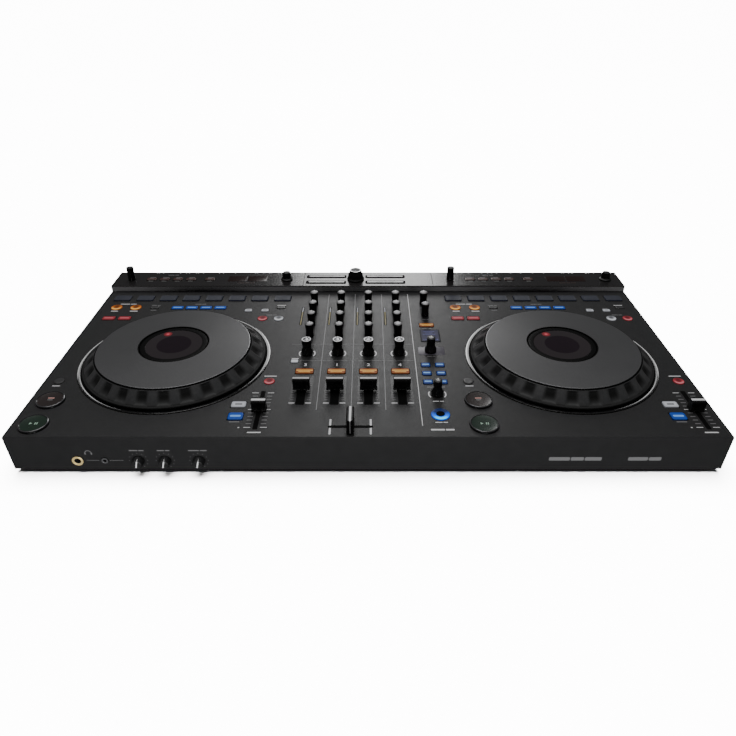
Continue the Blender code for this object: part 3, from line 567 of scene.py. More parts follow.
def knob_stack(form, at, sizes, ribs=18, rib=0.14, sides=72, cap=1, dish=0.0, lip=0.45, cap_from=13,
               flare=0.20):
    """A knob: shaft, foot, ribbed body from waist to top, then a rounded cap. The ribs are a cosine
    of the angle that fades out at the foot and at the cap. The sizes are the foot's height, the radii
    of base, waist and top, and the knob's height. cap is the finish from face band cap_from on."""
    foot, base, waist, top, height = sizes
    rise = height - foot
    rows = [(2.8, foot - 4.0), (2.8, foot), (base - 0.35, foot), (base, foot + 0.35),
            (base - 0.10, foot + 0.5 * flare * rise), (waist + 0.25, foot + flare * rise),
            (waist, foot + (flare + 0.14) * rise), (waist + 0.2 * (top - waist), foot + 0.58 * rise),
            (waist + 0.7 * (top - waist), foot + 0.74 * rise), (top - 0.10, height - 1.9),
            (top, height - 1.5), (top - 0.04, height - 1.35), (top - 0.22, height - 1.30),
            (top - 0.15, height - 1.1), (top - 0.18, height - 0.60), (top - lip, height - 0.22),
            (top - 2.2 * lip, height), (0.45 * top, height - 0.3 * dish), (0.02, height - dish)]
    angle = TAU * np.arange(sides) / sides
    share = np.zeros(len(rows))
    share[5:10] = (0.5, 1.0, 1.0, 1.0, 0.6)
    ripple = rib * share[:, None] * np.cos(ribs * angle)
    coats = np.zeros(len(rows) + 1, int)
    coats[cap_from:] = cap
    form.add(turned(rows, sides, ripple), at, coats)


def upright_knob(node, radii, foot=0.6, **options):
    """A knob at its part's place and as tall as its part, from the radii of base, waist and top."""
    low, high = span(node)
    x, y = (low[:2] + high[:2]) / 2
    form = Form()
    knob_stack(form, (x, y, 0.0), (foot, *radii, high[2]), **options)
    return form, x, y, high[2]


def pointer(form, at, width, length, sunk, paint, proud=0.03):
    """A raised line on a knob's top, part of it sunk in."""
    form.add(slab(width, length, 0.3, [(0, -sunk), (0, proud), (0.08, proud + 0.05)], 3), at, paint)


def make_small_knobs():
    """Trim and tone knobs, and the two small effects knobs: dark ribs under a light grey cap."""
    names = [f"{row}_knob_{channel}" for row in ("trim", "high", "mid", "low") for channel in CHANNELS]
    for node in names + ["fx_time_knob", "fx_frequency_knob"]:
        form, x, y, height = upright_knob(node, (5.1, 4.5, 5.35), lip=1.0)
        pointer(form, (x, y + 2.6, height), 0.8, 4.0, 0.3, 2)
        form.add(slab(0.8, 0.5, 0.1, [(0, -2.3), (0, 0.0)], 3), (x, y + 5.22, height - 0.9), 2)
        form.piece(node + "_shell", node, "knob", [GRIP, KNOB_CAP, WHITE_INK], [node])


def make_filter_knobs():
    """The four larger knobs: a wide ribbed foot, a narrow body and a bright ring round a dark dish."""
    for channel in CHANNELS:
        node = f"filter_knob_{channel}"
        form, x, y, height = upright_knob(node, (7.15, 5.0, 5.9), ribs=24, cap=0, dish=0.5, lip=0.6,
                                          sides=96, flare=0.36)
        ring = [(5.85, -0.5), (5.85, -0.1), (5.45, 0.25), (4.3, 0.25), (3.9, -0.1), (3.9, -0.5)]
        form.add(turned(ring, 96), (x, y, height), 1, looped=True)
        dome = [(2.6, -0.6), (2.5, -0.1), (1.6, 0.15), (0.02, 0.22)]
        form.add(turned(dome, 48), (x, y, height), 1)
        pointer(form, (x, y + 4.1, height), 0.9, 3.2, 0.6, 2, 0.30)
        form.add(slab(0.9, 0.5, 0.1, [(0, -3.4), (0, 0.0)], 3), (x, y + 5.82, height - 0.9), 2)
        form.piece(node + "_shell", node, "knob", [GRIP, SILVER_GREY, WHITE_INK], [node])


def make_effect_knobs():
    """The select and level knobs: a wide skirt, a narrow waist and a small bright cap."""
    for node, radii in (("fx_select_knob", (7.2, 4.9, 5.1)), ("fx_level_knob", (6.9, 4.5, 4.7))):
        form, x, y, height = upright_knob(node, radii, ribs=20, sides=80, lip=1.1, cap_from=17,
                                          flare=0.36)
        pointer(form, (x, y + 1.6, height), 0.8, 3.6, 0.6, 2)
        form.piece(node + "_shell", node, "knob", [GRIP, KNOB_CAP, WHITE_INK], [node])


def make_rear_knobs():
    """Browse knob with a silver ring, and a tall and a skirted knob at either side."""
    foot = span("rear_cover")[1][2] + 0.6
    form, x, y, height = upright_knob("browse_knob", (12.3, 10.6, 8.3), foot, ribs=36, rib=0.22,
                                      sides=144, cap=0, dish=0.9, lip=0.7)
    ring = [(7.9, -1.1), (8.15, -0.8), (7.9, -0.1), (7.3, 0.0), (6.7, -0.2), (6.7, -1.1)]
    form.add(turned(ring, 96), (x, y, height), 1, looped=True)
    form.piece("browse_knob_shell", "browse_knob", "knob", [GRIP, SILVER], ["browse_knob"])
    for side in SIDES:
        for kind, radii, ribs in (("tall", (5.2, 4.8, 5.2), 16), ("skirted", (8.3, 6.2, 5.5), 22)):
            node = f"{kind}_knob_{side}"
            form, x, y, height = upright_knob(node, radii, foot, ribs=ribs, cap=0, dish=0.3)
            pointer(form, (x, y + radii[2] - 2.6, height), 0.8, 3.6, 0.5, 1)
            form.piece(node + "_shell", node, "knob", [GRIP, WHITE_INK], [node])


def make_front_knobs():
    """The three knobs on the front face, each with a white line across its end."""
    for node in ("headphone_mix_knob", "headphone_level_knob", "mic_level_knob"):
        low, high = span(node)
        x, z = (low[0] + high[0]) / 2, (low[2] + high[2]) / 2
        reach = -low[1]
        form = Form()
        rows = [(2.8, -7.0), (2.8, 0.5), (5.9, 0.5), (6.25, 0.9), (6.2, 1.8), (5.9, 2.4),
                (5.6, reach - 1.2), (5.2, reach - 0.35), (4.6, reach), (0.02, reach - 0.25)]
        angle = TAU * np.arange(80) / 80
        share = np.array([0, 0, 0, 0, 0, 0.7, 1, 0, 0, 0])[:, None]
        form.add(turned(rows, 80, 0.16 * share * np.cos(20 * angle)), (x, 0.0, z), 0, basis=FORWARD)
        tilt = math.radians(-14.0)
        lean = np.array([[math.cos(tilt), math.sin(tilt), 0], [-math.sin(tilt), math.cos(tilt), 0],
                         [0, 0, 1]])
        line = slab(1.2, 8.4, 0.4, [(0, -1.4), (0, 0.02), (0.1, 0.08)], 3) + np.array([0, 0.8, 0])
        form.add(line @ lean, (x, -reach, z), 1, basis=FORWARD)
        side = slab(0.9, 0.5, 0.15, [(0, -reach + 2.6), (0, -0.6)], 3) + np.array([0, 5.45, 0])
        form.add(side @ lean, (x, -reach, z), 1, basis=FORWARD)
        form.piece(node + "_shell", node, "knob", [GRIP, WHITE_INK], [node])


# ---------------------------------------------------------------- faders

def fader_cap(form, x, y, size, across_x, neck, line):
    """A fader cap: a neck, a crown with hollow flanks over it, ridges and a light line on top. Each
    flank's inset is a sine of the height, so it pulls in towards the middle. The size is its width,
    depth and height, neck the width of its neck and line the width of its light line."""
    width, depth, height = size
    share = np.linspace(0, 1, 12)
    slim = 0.5 * np.sin(math.pi * share ** 0.8)
    foot = 0.9 if neck == width else 2.8
    rows = [(0.6, foot), (0.0, foot + 0.4)]
    rows += [(0.10 + pull, foot + 0.6 + (height - foot - 2.2) * s) for s, pull in zip(share, slim)]
    rows += [(0.35, height - 1.0), (0.75, height - 0.35), (1.2, height)]
    form.add(slab(width, depth, 1.0, rows, 5), (x, y, 0.0), 0)
    if neck < width:
        form.add(slab(neck, depth - 0.6, 1.0, [(0.3, 0.9), (0, 1.3), (0, 7.0)], 5), (x, y, 0.0), 0)
    stem = rounded(5.0, 2.0, 0.3) if across_x else rounded(2.0, 5.0, 0.3)
    stem_rings = np.array([np.column_stack([stem, np.full(len(stem), z)]) for z in (-6.5, 1.5)])
    form.add(stem_rings, (x, y, 0.0), 0)
    stripe = (line, depth - 1.2) if across_x else (width - 1.2, line)
    # the light line: white ink on most caps, and on the channel faders a grey stripe of painted sheen for
    # the lit top face
    form.add(slab(*stripe, 0.2, [(0, -0.4), (0, 0.03), (0.05, 0.08)], 3), (x, y, height), 1)
    if across_x:
        form.add(slab(0.55 * line, 0.6, 0.15, [(0, 1.6), (0, height - 0.2)], 3),
                 (x, y - depth / 2 + 0.22, 0.0), 1)
    for step in (-2.5, 2.5):
        shift = (step, 0.0) if across_x else (0.0, step)
        ridge = (0.8, stripe[1] - 1.0) if across_x else (stripe[0] - 1.0, 0.8)
        form.add(slab(*ridge, 0.2, [(0, -0.4), (0, 0.02), (0.25, 0.30)], 3),
                 (x + shift[0], y + shift[1], height), 0)


def make_faders():
    """Channel faders with a necked cap, the crossfader, and the tempo faders."""
    channel_nodes = [f"channel_fader_{channel}" for channel in CHANNELS]
    tempo_nodes = [f"tempo_fader_{side}" for side in SIDES]
    for node in channel_nodes + tempo_nodes + ["crossfader"]:
        low, high = span(node)
        x, y = (low[:2] + high[:2]) / 2
        width, depth = (high - low)[:2]
        form = Form()
        neck = 11.0 if node in channel_nodes else width
        line = 2.1 if node == "crossfader" else 3.4
        fader_cap(form, x, y, (width, depth, high[2]), node == "crossfader", neck, line)
        # channel faders: a grey stripe of painted sheen standing for the cap's lit top face
        top = CAP_TOP_SHEEN if node in channel_nodes else CAP_LINE
        form.piece(node + "_cap", node, "cap", [CAP, top], [node])


# ---------------------------------------------------------------- jog wheels

SCOOPS, SCOOP_DEPTH = 26, 2.9


def make_jog_wheel(side):
    """A jog wheel: platter, dark groove and a wall with finger scoops. A scoop's depth is the product
    of a half sine up the wall and a flattened cosine round it."""
    node = "jog_wheel_" + side
    low, high = span(node)
    x, y = (low[:2] + high[:2]) / 2
    outer = (high[0] - low[0]) / 2
    top = high[2]
    plate, hole = outer - 16.8, 39.9
    share = np.linspace(0, 1, 15)
    wall = [(outer - 2.3 - 12.2 * s, 4.4 + 11.3 * s ** 0.92) for s in share]
    lead = [(12.6, top - 11.8), (outer - 7.0, 1.6), (outer - 0.4, 1.25), (outer, 1.6), (outer, 3.2),
            (outer - 0.5, 3.9), (outer - 1.6, 4.2)]
    crest = [(plate + 1.7, 16.3), (plate + 1.0, 16.6), (plate + 0.65, 16.5), (plate + 0.55, 15.9),
             (plate + 0.15, 15.9), (plate + 0.05, 17.3), (plate - 0.25, 17.75), (plate - 0.8, 17.9)]
    flat = [(plate - 0.8 - (plate - 0.8 - hole - 0.9) * s, 17.9 + (top - 17.98) * s)
            for s in (0.004, 0.02, 0.33, 0.66, 0.98, 0.996)]
    bore = [(hole + 0.6, top - 0.10), (hole + 0.2, top - 0.35), (hole, top - 0.9), (hole, 9.2),
            (12.6, 9.2)]
    rows = lead + wall + crest + flat + bore
    sides = SCOOPS * 18
    angle = TAU * np.arange(sides) / sides
    shape = np.clip(0.42 + 0.95 * np.cos(SCOOPS * angle), 0, 1)
    shape = shape * shape * (3 - 2 * shape)
    scoop = np.zeros((len(rows), sides))
    scoop[len(lead):len(lead) + len(wall)] = np.outer(np.sin(math.pi * share ** 0.85) ** 0.7, shape)
    grip, edge, satin, groove = range(4)
    coats = np.repeat([groove, grip, groove, edge, satin, groove], [3, 19, 5, 2, 6, 6])
    form = Form()
    # painted shade for the grip finish: the scoops' depth, and 0.85 on the wheel's foot
    painted_shade = scoop.copy()
    painted_shade[:len(lead) + 1] = 0.85
    form.add(turned(rows, sides, -SCOOP_DEPTH * scoop), (x, y, 0.0), coats, painted_shade, looped=True)
    surface = platter("platter_satin_" + side, (0.041, 0.041, 0.043), x, y)
    form.piece(node + "_surface", node, "jog", [WALL, EDGE, surface, GROOVE], [node], 28.0)

    bright, black = range(2)
    rim = Form()
    ring = [(outer + 1.8, -0.02), (outer + 5.8, -0.02), (outer + 5.8, 0.7), (outer + 5.7, 0.85),
            (outer + 5.4, 0.95), (outer + 2.2, 0.95), (outer + 1.9, 0.85), (outer + 1.8, 0.7)]
    rim.add(turned(ring, 256), (x, y, 0.0), [black] * 4 + [bright] + [black] * 3, looped=True)
    # painted shadow: a black sheet on the panel under the wheel's foot and just beyond it
    painted_shadow = [(outer - 8.0, -0.02), (outer + 1.8, -0.02), (outer + 1.8, 0.06), (outer - 8.0, 0.06)]
    rim.add(turned(painted_shadow, 256), (x, y, 0.0), black, looped=True)
    rim.piece("jog_rim_" + side, "chassis", "case", [RIM, GROOVE])


def make_jog_display(side):
    """The fixed display in the middle of a jog wheel: post, black bezel, smoked window, red marker."""
    node = "jog_display_" + side
    low, high = span(node)
    x, y = (low[:2] + high[:2]) / 2
    radius, top = (high[0] - low[0]) / 2, high[2]
    rows = [(11.6, low[2]), (11.6, 9.9), (radius - 0.2, 9.9), (radius, 10.2), (radius, top - 0.6),
            (radius - 0.4, top - 0.1), (radius - 0.9, top), (radius - 5.8, top),
            (radius - 6.3, top - 0.45), (26.0, top - 0.35), (13.0, top - 0.28), (0.02, top - 0.25)]
    bezel, glass, red = range(3)
    coats = [bezel] * 9 + [glass] * 4
    form = Form()
    form.add(turned(rows, 144), (x, y, 0.0), coats)
    spot = [(5.2, -0.3), (5.2, 0.00), (3.6, 0.02), (2.4, 0.04), (1.4, 0.07), (0.02, 0.10)]
    form.add(turned(spot, 48), (x - 13.2, y + 23.8, top - 0.3), red,
             [0.0, 0.0, 0.14, 0.55, 0.8, 1.0])
    window = smoked("display_glass_" + side, x, y)
    form.piece(node + "_window", "chassis", "screen", [BEZEL, window, RED], [node])


# ---------------------------------------------------------------- buttons, pads and keys

def make_big_buttons(side):
    """Play and cue: a dished button in a bright chamfer, with a lit mark."""
    for kind in ("play", "cue"):
        node = f"{kind}_button_{side}"
        low, high = span(node)
        x, y = (low[:2] + high[:2]) / 2
        top, radius = high[2], 15.0
        rows = [(radius + 1.5, low[2]), (radius + 1.5, low[2] + 1.5), (radius - 0.05, low[2] + 1.5),
                (radius - 0.05, top - 1.0), (radius - 0.35, top - 0.35), (radius - 0.9, top),
                (radius - 1.4, top - 0.05), (radius - 1.9, top - 0.5), (radius - 2.6, top - 0.6),
                (7.0, top - 0.95), (0.02, top - 1.05)]
        body, chamfer, mark, dish, grey = range(5)
        coats = [body] * 4 + [chamfer] * 2 + [body] * 2 + [dish] * 4
        form = Form()
        form.add(turned(rows, 96), (x, y, 0.0), coats)
        face = top - 1.0
        if kind == "play":
            triangle(form, (x - 3.0, y, face), 2.0, mark)
            for step in (2.0, 3.9):
                dash(form, (x + step, y, face), 1.1, 3.4, mark)
        else:
            dash(form, (x, y + 2.6, face), 7.0, 1.5, mark)
            dash(form, (x, y - 0.8, face), 5.5, 1.1, grey)
        coat, colour = (PLAY_FACE, GREEN) if kind == "play" else (CUE_FACE, AMBER)
        form.piece(node + "_face", node, "button", [BUTTON, BUTTON_EDGE, colour, coat, GREY_INK],
                   [node])


def make_pads(side):
    """Eight silicone pads: a soft crown inside a raised lip, faintly lit at the edge."""
    node = "pads_" + side
    low, high = span(node)
    form = Form()
    web = slab(high[0] - low[0], high[1] - low[1], 1.0, [(0, low[2]), (0, low[2] + 1.5)], 3)
    form.add(web, (*((low + high) / 2)[:2], 0.0), 2)
    top = high[2]
    rows = [(0.1, -3.0), (0.1, top - 0.9), (0.25, top - 0.35), (0.7, top), (1.1, top + 0.02),
            (1.5, top - 0.14), (2.2, top - 0.12), (4.0, top - 0.02), (6.5, top + 0.02)]
    glow = [0.4, 0.5, 0.4, 0.15, 0.1, 0.05, 0.0, 0.0, 0.0]
    for x, y, width, depth in cap_boxes(node):
        form.add(slab(width, depth, 1.8, rows, 6), (x, y, 0.0), [0] * 2 + [1] * 2 + [0] * 6, glow)
    form.piece(node + "_silicone", node, "pad", [PAD, PAD_EDGE, RUBBER], [node])


def add_key(form, box, round_key, top, paint, body):
    """One key cap to the size of its part's. A round cap is lit as a ring round a darker middle, its glow
    painted brightest at the front as a sine of the angle: painted light for the lit side of the ring, which
    shows only from the front. A plate is lit evenly by the share that body gives, less at its edge."""
    x, y, width, depth = box
    reach = min(width, depth) / 2
    rows = [(0.1, -3.2), (0.1, top - 0.45), (0.22, top - 0.18), (0.6, top - 0.02), (0.22 * reach, top),
            (0.45 * reach, top + 0.01), (0.62 * reach, top - 0.04), (0.9 * reach, top - 0.06)]
    if round_key:
        share = np.array([0.05, 0.2, 0.5, 0.9, 1.0, 0.7, 0.10, 0.04])[:, None]
        # painted light: the ring's glow is brightest at the front, where its lit side would show
        front = 0.72 - 0.64 * np.sin(TAU * np.arange(48) / 48)
        form.add(turned([(width / 2 - inset, z) for inset, z in rows], 48), (x, y, 0.0), paint,
                 share * front)
    else:
        share = np.array([0.0, 0.15, 0.4, 0.7, 0.85, 1.0, 1.0, 1.0])
        form.add(slab(width, depth, min(width, depth) * 0.22, rows, 6), (x, y, 0.0), paint,
                 share * body)


def add_lines(form, box, top, paint, rows, glow=1.0):
    """Bright marks across a key: each is a share of its width, a place along its depth, a thickness."""
    x, y, width, depth = box
    for share, place, thick in rows:
        form.add(slab(width * share, depth * thick, depth * thick * 0.4, [(0, -0.1), (0, 0.03)], 3),
                 (x, y + depth * place, top), paint, glow)


def add_web(form, node, boxes, paint):
    """What joins the caps of a mat, hidden behind the panel: a strip under each cap."""
    low = span(node)[0][2]
    for x, y, width, depth in boxes:
        form.add(slab(width + 1.0, depth + 1.0, 0.5, [(0, low + 0.2), (0, low + 1.3)], 3),
                 (x, y, 0.0), paint)


# x from the deck's centre line, y, whether it is round, finish on the left and on the right deck
DECK_KEYS = [(-112.0, 279.5, True, "orange", "orange"), (-85.8, 279.5, True, "orange", "orange"),
             (-112.3, 248.5, False, "red", "red"), (-91.5, 248.5, False, "red", "red"),
             (-60.0, 279.5, False, "dark", "dark"), (112.5, 279.5, False, "dark", "dark"),
             (69.3, 270.5, False, "white", "white"), (91.7, 270.5, False, "white", "white"),
             (91.3, 248.5, True, "red", "white"), (112.8, 248.5, True, "white", "red"),
             (-117.7, 100.0, True, "dark", "dark"), (119.7, 100.0, True, "red", "red"),
             (92.7, 55.3, False, "white", "white"), (92.8, 34.5, False, "blue", "blue"),
             (-28.6, 278.5, False, "blue", "blue"), (-9.2, 278.5, False, "blue", "blue"),
             (10.2, 278.5, False, "blue", "blue"), (29.6, 278.5, False, "blue", "blue")]
KEY_FINISHES = {"dark": KEY_DARK, "orange": ORANGE, "red": RED, "white": WHITE, "blue": BLUE,
                "sky": SKY, "ink": DIM_INK, "black": GROOVE}
KEY_PAINT = {name: index for index, name in enumerate(KEY_FINISHES)}
# How strongly a plate of each finish is lit
KEY_BODY = {"dark": 0.0, "orange": 0.5, "red": 0.46, "white": 0.75, "blue": 0.40}


def make_deck_keys(side, centre):
    """A deck's small keys, each lit in its own colour."""
    node = "deck_keys_" + side
    boxes = cap_boxes(node)
    top = span(node)[1][2]
    form = Form()
    add_web(form, node, boxes, KEY_PAINT["dark"])
    for x, y, round_key, left, right in DECK_KEYS:
        colour = left if side == "left" else right
        box = nearest(boxes, centre + x, y)
        add_key(form, box, round_key, top, KEY_PAINT[colour], KEY_BODY[colour])
        if colour == "white" and not round_key:
            add_lines(form, box, top, KEY_PAINT["ink"], [(0.5, 0.0, 0.2)])
        elif colour in ("red", "blue") and not round_key:
            add_lines(form, box, top, KEY_PAINT[colour], [(0.72, 0.0, 0.24)], 0.92)
    form.piece(node + "_caps", node, "key", list(KEY_FINISHES.values()), [node])


def make_mixer_keys():
    """The mixer's keys: orange cue keys, blue effect keys and a round key that is lit as a ring."""
    node = "mixer_keys"
    boxes = cap_boxes(node)
    top = span(node)[1][2]
    form = Form()
    add_web(form, node, boxes, KEY_PAINT["dark"])
    ring_box = nearest(boxes, middle("fx_level_knob")[0], 38.0)
    for box in boxes[(boxes != ring_box).any(axis=1)]:
        orange = box[2] > 15.0
        white = box[0] < -80.0
        colour = "orange" if orange else "white" if white else "blue"
        add_key(form, box, False, top, KEY_PAINT[colour], 0.9 if white else 0.20)
        if orange:
            add_lines(form, box, top, KEY_PAINT[colour], [(0.92, 0.10, 0.16), (0.66, -0.20, 0.12)])
        elif not white:
            add_lines(form, box, top, KEY_PAINT[colour], [(0.74, 0.04, 0.22)])
    x, y, width, _ = ring_box
    reach = width / 2
    rows = [(reach - 0.1, -3.2), (reach - 0.1, top - 0.5), (reach - 0.3, top - 0.1),
            (reach - 0.8, top), (0.66 * reach, top + 0.02), (0.42 * reach, top - 0.05)]
    share = np.array([0.1, 0.3, 0.7, 1.0, 1.0, 0.45])[:, None]
    # painted light: the ring glows only towards the front, where its lit side would show
    front = np.clip(0.36 - 0.72 * np.sin(TAU * np.arange(72) / 72), 0, 1.0)
    form.add(turned(rows, 72), (x, y, 0.0), KEY_PAINT["sky"], share * front)
    core = [(0.46 * reach, top - 0.6), (0.46 * reach, top), (0.40 * reach, top + 0.10),
            (0.02, top + 0.15)]
    form.add(turned(core, 48), (x, y, 0.0), KEY_PAINT["black"])
    form.piece(node + "_caps", node, "key", list(KEY_FINISHES.values()), [node])


def make_rear_keys():
    """Keys of the raised rear panel: small warm-dark ones at the sides, long ones by the browse knob."""
    node = "rear_keys"
    boxes = cap_boxes(node)
    low, high = span(node)
    cover = span("rear_cover")[1][2]
    form = Form()
    rows = [(0.1, low[2] + 0.5), (0.1, high[2] - 0.35), (0.25, high[2] - 0.1), (0.6, high[2]),
            (2.0, high[2] + 0.01)]
    border = [(-2.5, -0.1), (-2.5, 0.08), (-0.1, 0.08), (-0.1, -0.1)]
    marks = Form()
    for x, y, width, depth in boxes:
        long_key = width > 20.0
        form.add(slab(width, depth, 0.9, rows, 5), (x, y, 0.0), 1 if long_key else 0)
        word(form, (x, y, high[2] + 0.02), width * 0.45, 0.9, 2, parts=2 if long_key else 1)
        if long_key:
            marks.add(slab(width, depth, 0.3, border, 5), (x, y, cover), 1, looped=True)
        else:
            word(marks, (x, y + depth / 2 + 2.4, cover), width * 0.6, 0.9, parts=1)
            word(marks, (x, y - depth / 2 - 2.4, cover), width * 0.5, 0.9, parts=1)
    form.piece(node + "_caps", node, "key", [KEY_RED_DARK, BUTTON, GREY_INK], [node])
    marks.piece("rear_panel_marks", "chassis", "gloss", [GREY_INK, GROOVE])


# ---------------------------------------------------------------- printed panel, meters, display

def make_deck_marks(side, centre):
    """A deck's printed words, the tempo scale and the slot's border."""
    form = Form()
    words = [(-99, 289.8, 22, 1.5, 0, 2), (-112, 269.2, 9.5, 1.9, 0, 1), (-85.8, 269.2, 10.5, 1.9, 0, 1),
             (-60, 286.2, 12, 1.2, 1, 2), (-60, 272.0, 8, 1.2, 1, 1), (0.5, 289.5, 15, 1.3, 1, 2),
             (69.3, 276.8, 7, 1.1, 1, 1), (91.7, 276.8, 7, 1.1, 1, 1), (112.5, 286.2, 12, 1.3, 0, 1),
             (102, 258.2, 14, 1.2, 1, 2), (119.7, 110.5, 14, 1.5, 0, 1), (92.8, 25.4, 11, 1.2, 1, 1),
             (115.9, 8.0, 14, 1.8, 0, 1), (-117.7, 90.8, 9, 1.3, 0, 1), (99, 16.0, 1.6, 1.6, 0, 1)]
    for x, y, width, depth, paint, parts in words:
        word(form, (centre + x, y, 0.0), width, depth, paint, parts=parts)
    fader = middle("tempo_fader_" + side)
    for step in range(-5, 6):
        reach = 7.0 if step % 5 == 0 else 5.6
        for way in (-1, 1):
            x = fader[0] + way * (5.0 + reach / 2)
            dash(form, (x, fader[1] + step * 6.1, 0.0), reach, 0.9, 0 if step % 5 == 0 else 1)
    form.add(slab(5.0, 68.0, 0.8, [(0, -0.02), (0, 0.03)], 4), (fader[0], fader[1], 0.0), 2)
    form.piece("deck_marks_" + side, "chassis", "case", [WHITE_INK, GREY_INK, GROOVE])


def make_mixer_marks():
    """Dividing lines, knob arcs, fader scales and the words of the mixer section."""
    white, grey, strip, black, dim = range(5)
    form = Form()
    columns = [middle(f"channel_fader_{channel}")[0] for channel in CHANNELS]
    pitch = columns[1] - columns[0]
    edge = columns[0] - pitch / 2
    front, rear = 46.0, 320.0
    for step in (1, 2, 3):
        dash(form, (edge + step * pitch, (front + rear) / 2, 0.0), 0.85, rear - front, grey)
    border, border_front = edge + 4 * pitch, 19.0
    dash(form, (border, (border_front + rear) / 2, 0.0), 0.75, rear - border_front)
    for y, start in ((182.0, edge - 2.0), (144.0, columns[0] - 7.0)):
        dash(form, ((start + border) / 2, y, 0.0), border - start, 0.45, grey)
    knob, fader = middle("filter_knob_1"), middle("channel_fader_1")
    for x in columns:
        for start in (-38.0, 142.0):
            form.add(arc(9.4, 1.5, start, start + 76.0), (x, knob[1], 0.0), 0)
        form.add(slab(24.0, 56.0, 1.0, [(0, -0.02), (0, 0.025)], 4), (x, fader[1], 0.0), strip)
        # painted shadow: the black strip covers the slot and paints its dark inside, and its width beyond
        # the slot is painted shadow of the cap
        form.add(slab(9.6, 55.0, 1.2, [(0, -0.02), (0, 0.05)], 4), (x, fader[1], 0.0), black)
        for step in range(-5, 6):
            last = step == -5
            length, thick, down, paint = (6.4, 1.3, 1.6, white) if last else (3.4, 0.45, 0.0, grey)
            for way in (-1, 1):
                dash(form, (x + way * 8.9, fader[1] + step * 4.5 - down, 0.03), length, thick, paint)
    cross = middle("crossfader")
    for way in (-1, 1):
        dash(form, (cross[0] + way * 20.8, cross[1], 0.0), 2.0, 25.0)
    form.add(slab(44.0, 4.2, 1.0, [(0, -0.02), (0, 0.07)], 4), (cross[0], cross[1], 0.0), black)
    level = middle("fx_level_knob")
    for start in (-40.0, 150.0):
        form.add(arc(9.4, 1.3, start, start + 70.0), (level[0], level[1], 0.0), 0)
    for y, width, depth, paint in ((221.4, 12, 1.1, grey), (88.6, 20, 1.2, grey),
                                   (61.6, 12, 1.2, white), (24.6, 13, 1.3, white),
                                   (12.5, 24, 2.4, white), (245.5, 8, 1.0, grey),
                                   (278.5, 10, 1.0, grey), (153.5, 10, 1.0, grey)):
        word(form, (level[0], y, 0.0), width, depth, paint)
    word(form, (columns[0] - 13.5, 148.6, 0.0), 8, 1.4, parts=1)
    for x in columns:
        for row in ("high", "mid", "low"):
            word(form, (x, middle(row + "_knob_1")[1] + 13.0, 0.0), 5.5, 0.9, dim, parts=1)
    form.piece("mixer_marks", "chassis", "case", [WHITE_INK, GREY_INK, SLOT_FLOOR, GROOVE, DIM_INK])
    for x, figure, channel in zip(columns, CHANNEL_NUMBERS, CHANNELS):
        numerals(f"channel_number_{channel}", figure, (x, 134.4, 0.02), 8.0, WHITE_INK, "chassis")


def make_meters():
    """A level meter beside each channel: small lit segments in a dark strip."""
    black, yellow, white = range(3)
    form = Form()
    for channel in CHANNELS:
        x = middle(f"mid_knob_{channel}")[0] - 14.6
        form.add(slab(3.2, 50.0, 0.6, [(0, -0.02), (0, 0.04), (0.1, 0.06)], 3), (x, 255.5, 0.0), black)
        segment = slab(1.5, 2.0, 0.3, [(0, 0.0), (0, 0.10), (0.2, 0.16)], 3)
        for step, paint in enumerate([yellow] * 11 + [white] * 4):
            form.add(segment, (x, 233.0 + step * 3.2, 0.0), paint, [0.3, 0.6, 1.0])
    form.piece("level_meters", "chassis", "screen", [GROOVE, YELLOW, WHITE])


def make_effects_display():
    """The effects display: a framed dark blue window with figures and bars."""
    select = middle("fx_select_knob")
    x, y = middle("fx_level_knob")[0] + 2.5, 203.0
    form = Form()
    frame_rows = [(0, -0.02), (0, 0.35), (0.25, 0.5), (1.0, 0.5)]
    form.add(slab(25.0, 31.0, 1.6, frame_rows, 5), (x, y, 0.0), 0)
    form.add(slab(32.0, 19.0, 2.0, [(0, -0.02), (0, 0.12), (0.2, 0.2)], 5),
             (select[0] + 1.0, select[1] + 1.0, 0.0), 3)
    glass = [(0, 0.45), (0, 0.56), (2.5, 0.58), (9.0, 0.58)]
    form.add(slab(22.0, 28.0, 1.0, glass, 5), (x, y, 0.0), 1, [0.4, 0.6, 0.8, 0.8])
    for row, width in enumerate((14.0, 9.0, 16.0)):
        dash(form, (x - 1.0, y + 9.0 - row * 3.2, 0.60), width, 1.1, 2)
    for step in range(8):
        dash(form, (x - 8.4 + step * 2.4, y - 10.5, 0.60), 1.5, 1.2 + 0.25 * step, 2)
    form.piece("effects_display", "chassis", "screen", [FRAME, NAVY, ICE, LILAC_PLATE])
    numerals("effects_display_figures", "128", (x, y - 3.8, 0.60), 7.0, ICE, "chassis")


def make_rear_panel_trim(centres):
    """Tinted windows, seams and words of the raised rear panel."""
    low, high = span("rear_cover")
    form = Form()
    y, top = (low[1] + high[1] - 4.0) / 2, high[2]
    for centre in centres:
        for shift in (41.5, 70.5):
            form.add(slab(27.0, 18.0, 1.2, [(0, -0.02), (0, 0.10), (0.3, 0.16)], 4),
                     (centre + shift, y + 1.0, top), 0)
        word(form, (centre - 55.0, y + 13.5, top), 16, 1.1, 1)
        word(form, (centre + 56.0, y - 13.0, top), 24, 1.2, 2, parts=3)
    for x in (-93.0, 93.0):
        form.add(slab(0.7, high[1] - low[1] - 5.0, 0.2, [(0, -0.02), (0, 0.03)], 3), (x, y, top), 3)
    form.piece("rear_panel_trim", "chassis", "gloss", [WINDOW, GREY_INK, KEY_RED_DARK, GROOVE])


# ---------------------------------------------------------------- front, rear and underside

# Middles of the headphone sockets and of the rear wall's sockets
PHONES_X, MINI_PHONES_X = -297.0, -269.4
REAR_JACKS, REAR_PHONOS, REAR_PORTS = (-100.0, -76.0, -44.0), (-12.0, 6.0), (56.0, 76.0)
REAR_SOCKET_Z = -28.0


